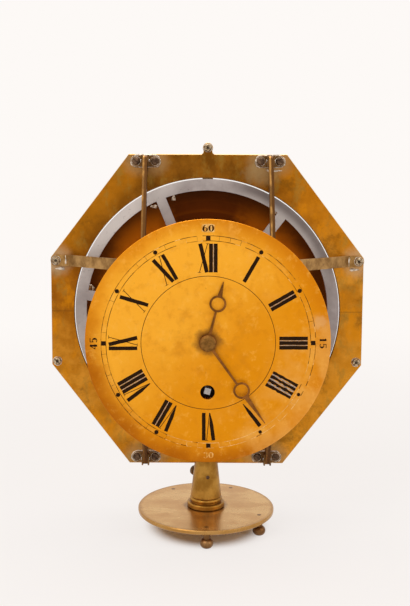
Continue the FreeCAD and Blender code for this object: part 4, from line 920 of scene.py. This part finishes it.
def engrave(label, centre_z, face, side, scale, wear, askew=0.0, shift=(0.0, 0.0)):
    """All the artwork of one dial, which may be cut a little askew and off the centre."""
    black, hair, threads = hour_figures(scale, wear)
    lines, bare, spots = minute_track(scale, wear)
    hair += [arc(CHAPTER * scale, LINE, k * 6.0, k * 6.0 + 6.0) for k in range(60)]
    dark = []
    for words, angle, lean, height, stretch in NUMBERS:
        kept = bare if wear and words == "30" else dark
        if wear and words == "60":
            kept = hair
            patch = (NUMBER_CIRCLE * scale, PATCH_WIDE * scale, PATCH_HIGH * scale)
            bare.append(rubbed_patch(angle, *patch))
        kept += quarter_number(words, angle, lean, NUMBER_CIRCLE * scale, height * scale, stretch)
    layers = (
        ("figures", black + spots, wax, 0.1),
        ("numbers", dark, wax, 0.1),
        ("hairlines", hair, brown_wax, 0.08),
        ("track", lines, thin_wax, 0.08),
        ("threads", threads, painted_thread_highlight, 0.06),
        ("worn", bare, worn_line, 0.06),
    )
    for kind, shapes, finish, thickness in layers:
        turned = [[turn_to(point, askew) for point in shape] for shape in shapes]
        placed = [[(u + shift[0], v + shift[1]) for u, v in shape] for shape in turned]
        if placed:
            inlay(f"{label}_{kind}", placed, finish.material, centre_z, face, side, thickness)


DRAWN_RADIUS = 110.0
engrave("front", DIAL_Z, DIAL_FACE, -1, dial_half.x / DRAWN_RADIUS, True, askew=-0.35, shift=(0.4, -0.7))
engrave("rear", REAR_Z, REAR_FACE, 1, rear_half.x / DRAWN_RADIUS, False)

# %% [markdown]
# Soft solder was run round each lug and round the ends of the rear dial's posts. It stands as an
# uneven pale bead along the joint. A bead is a half-round strip swept along the outline, with its
# width and height varied by a smooth wave of a few sines, so that it never repeats exactly.

# %% Solder
solder = Finish("dull_solder", Metallic=0.55)
skin = solder.cloud(2.4, 4.0, 0.65, shift=2.0)
solder.set("Base Color", solder.mix(skin.rise(0.36, 0.66), srgb(150, 128, 104), srgb(236, 222, 204)))
solder.set("Roughness", 0.34 + 0.3 * skin)
solder.relief(skin, 0.15)


def dress(name, points, faces):
    """Makes a smooth piece of solder that rides on the head."""
    mesh = bpy.data.meshes.new(name)
    mesh.from_pydata(points, [], faces)
    mesh.validate()
    mesh.polygons.foreach_set("use_smooth", [True] * len(mesh.polygons))
    mesh.materials.append(solder.material)
    piece = bpy.data.objects.new(name, mesh)
    bpy.context.scene.collection.objects.link(piece)
    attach(piece, "head")


def bead(name, outline, face, width, height, phase):
    """A half-round bead of solder along a closed outline in X and Z, on a face to the front."""
    count, profile = len(outline), 7
    points, faces = [], []
    for k, (u, v) in enumerate(outline):
        before, after = Vector(outline[k - 1]), Vector(outline[(k + 1) % count])
        tangent = (after - before).normalized()
        normal = Vector((tangent.y, -tangent.x))
        turn = math.tau * k / count
        swell = 1 + 0.35 * math.sin(3 * turn + phase)
        swell += 0.25 * math.sin(7 * turn + 2.1 * phase)
        swell += 0.15 * math.sin(13 * turn + 0.7 * phase)
        for j in range(profile):
            a = math.pi * j / (profile - 1)
            shift = normal * (math.cos(a) * width * swell / 2)
            lift = math.sin(a) * height * (0.6 + 0.4 * swell) - SUNK
            points.append(((u + shift.x) * MM, (face - lift) * MM, (v + shift.y) * MM))
    for k in range(count):
        for j in range(profile):
            a, b = k * profile, ((k + 1) % count) * profile
            faces.append((a + j, a + (j + 1) % profile, b + (j + 1) % profile, b + j))
    dress(name, points, faces)


def smear(name, u, v, half_u, half_v, face, phase):
    """A flat smear of solder on a face that looks to the front: a low dome with an uneven edge."""
    count, rings = 24, ((1.0, -SUNK), (0.75, 0.14), (0.4, 0.2))
    points, faces = [], []
    for share, lift in rings:
        for k in range(count):
            turn = math.tau * k / count
            reach = share * (1 + 0.2 * math.sin(3 * turn + phase) + 0.12 * math.sin(7 * turn + 2 * phase))
            x = u + half_u * reach * math.cos(turn)
            z = v + half_v * reach * math.sin(turn)
            points.append((x * MM, (face - lift) * MM, z * MM))
    for row in range(len(rings) - 1):
        a, b = row * count, (row + 1) * count
        faces += [(a + k, a + (k + 1) % count, b + (k + 1) % count, b + k) for k in range(count)]
    faces.append(tuple(reversed(range(count))))
    faces.append(tuple((len(rings) - 1) * count + k for k in range(count)))
    dress(name, points, faces)


def stadium(u, v, straight, radius, steps=12):
    """Outline of a strip with round ends about a point."""
    ends = []
    for sign, start in ((1, 0), (-1, 180)):
        for k in range(steps + 1):
            a = math.radians(start + 180.0 * k / steps)
            ends.append((u + sign * straight + radius * math.sin(a), v + radius * math.cos(a)))
    return ends


def loop(u, v, radius, steps=28):
    """Outline of a circle about a point."""
    turns = [math.tau * k / steps for k in range(steps)]
    return [(u + radius * math.cos(t), v + radius * math.sin(t)) for t in turns]


# %% [markdown]
# The beads go round every lug, round the lug's screws, round the five screws at the plate's edge,
# and round the posts behind. A few flat smears lie where the iron slipped: under one lug, along the
# bends of the side rods, and behind the upper left spoke.

# %% Run the solder
SPOKE_TURN, POST_CIRCLE, SLIP_CIRCLE = 52.5, 121.55, 114.0
LUG_SEAM, SCREW_SEAM, EAR_SEAM, POST_SEAM = 5.4, 4.1, 3.85, 3.4
LUG_SCREW = 9.0
ARM_FACE, LUG_FACE = PLATE_FRONT - 2.0, PLATE_FRONT - 1.4
beads, smears = [], [(LUG_X + 3.0, PLATE_Z + LUG_Z - 8.6, 7.5, 1.3, PLATE_FRONT)]
for sx in (-1, 1):
    for sz in (-1, 1):
        lug = (sx * LUG_X, PLATE_Z + sz * LUG_Z)
        beads.append((stadium(*lug, LUG_STRAIGHT, LUG_SEAM), PLATE_FRONT, 1.7, 0.8))
        for side in (-1, 1):
            beads.append((loop(lug[0] + side * LUG_SCREW, lug[1], SCREW_SEAM), LUG_FACE, 0.6, 0.3))
        corner_face = ARM_FACE if sz > 0 else PLATE_FRONT
        beads.append((loop(sx * CORNER_X, PLATE_Z + sz * CORNER_RISE, SCREW_SEAM), corner_face, 0.9, 0.4))
    smears.append((sx * (CORNER_X - 9.2), PLATE_Z + CORNER_RISE, 0.8, 4.6, ARM_FACE))
    smears.append((sx * (CORNER_X - 4.0), PLATE_Z + CORNER_RISE - 8.0, 5.0, 1.5, PLATE_FRONT))
beads.append((loop(0.0, EAR_Z, EAR_SEAM), PLATE_FRONT, 0.95, 0.4))
for k in range(6):
    a = math.radians(SPOKE_TURN + 60 * k)
    post = (POST_CIRCLE * math.cos(a), PLATE_Z + POST_CIRCLE * math.sin(a))
    beads.append((loop(*post, POST_SEAM), REAR_INNER, 2.4, 1.4))
for angle, half_u, half_v in ((107.3, 2.2, 3.0), (118.2, 3.6, 1.8)):
    a = math.radians(angle)
    slip = (SLIP_CIRCLE * math.cos(a), PLATE_Z + SLIP_CIRCLE * math.sin(a))
    smears.append((*slip, half_u, half_v, REAR_INNER))
for k, (outline, face, width, height) in enumerate(beads):
    bead(f"solder_{k:02d}", outline, face, width, height, 1.0 + 1.7 * k)
for k, (u, v, half_u, half_v, face) in enumerate(smears):
    smear(f"smear_{k:02d}", u, v, half_u, half_v, face, 1.0 + 1.7 * k)
print("solder:", len(beads), "beads and", len(smears), "smears")
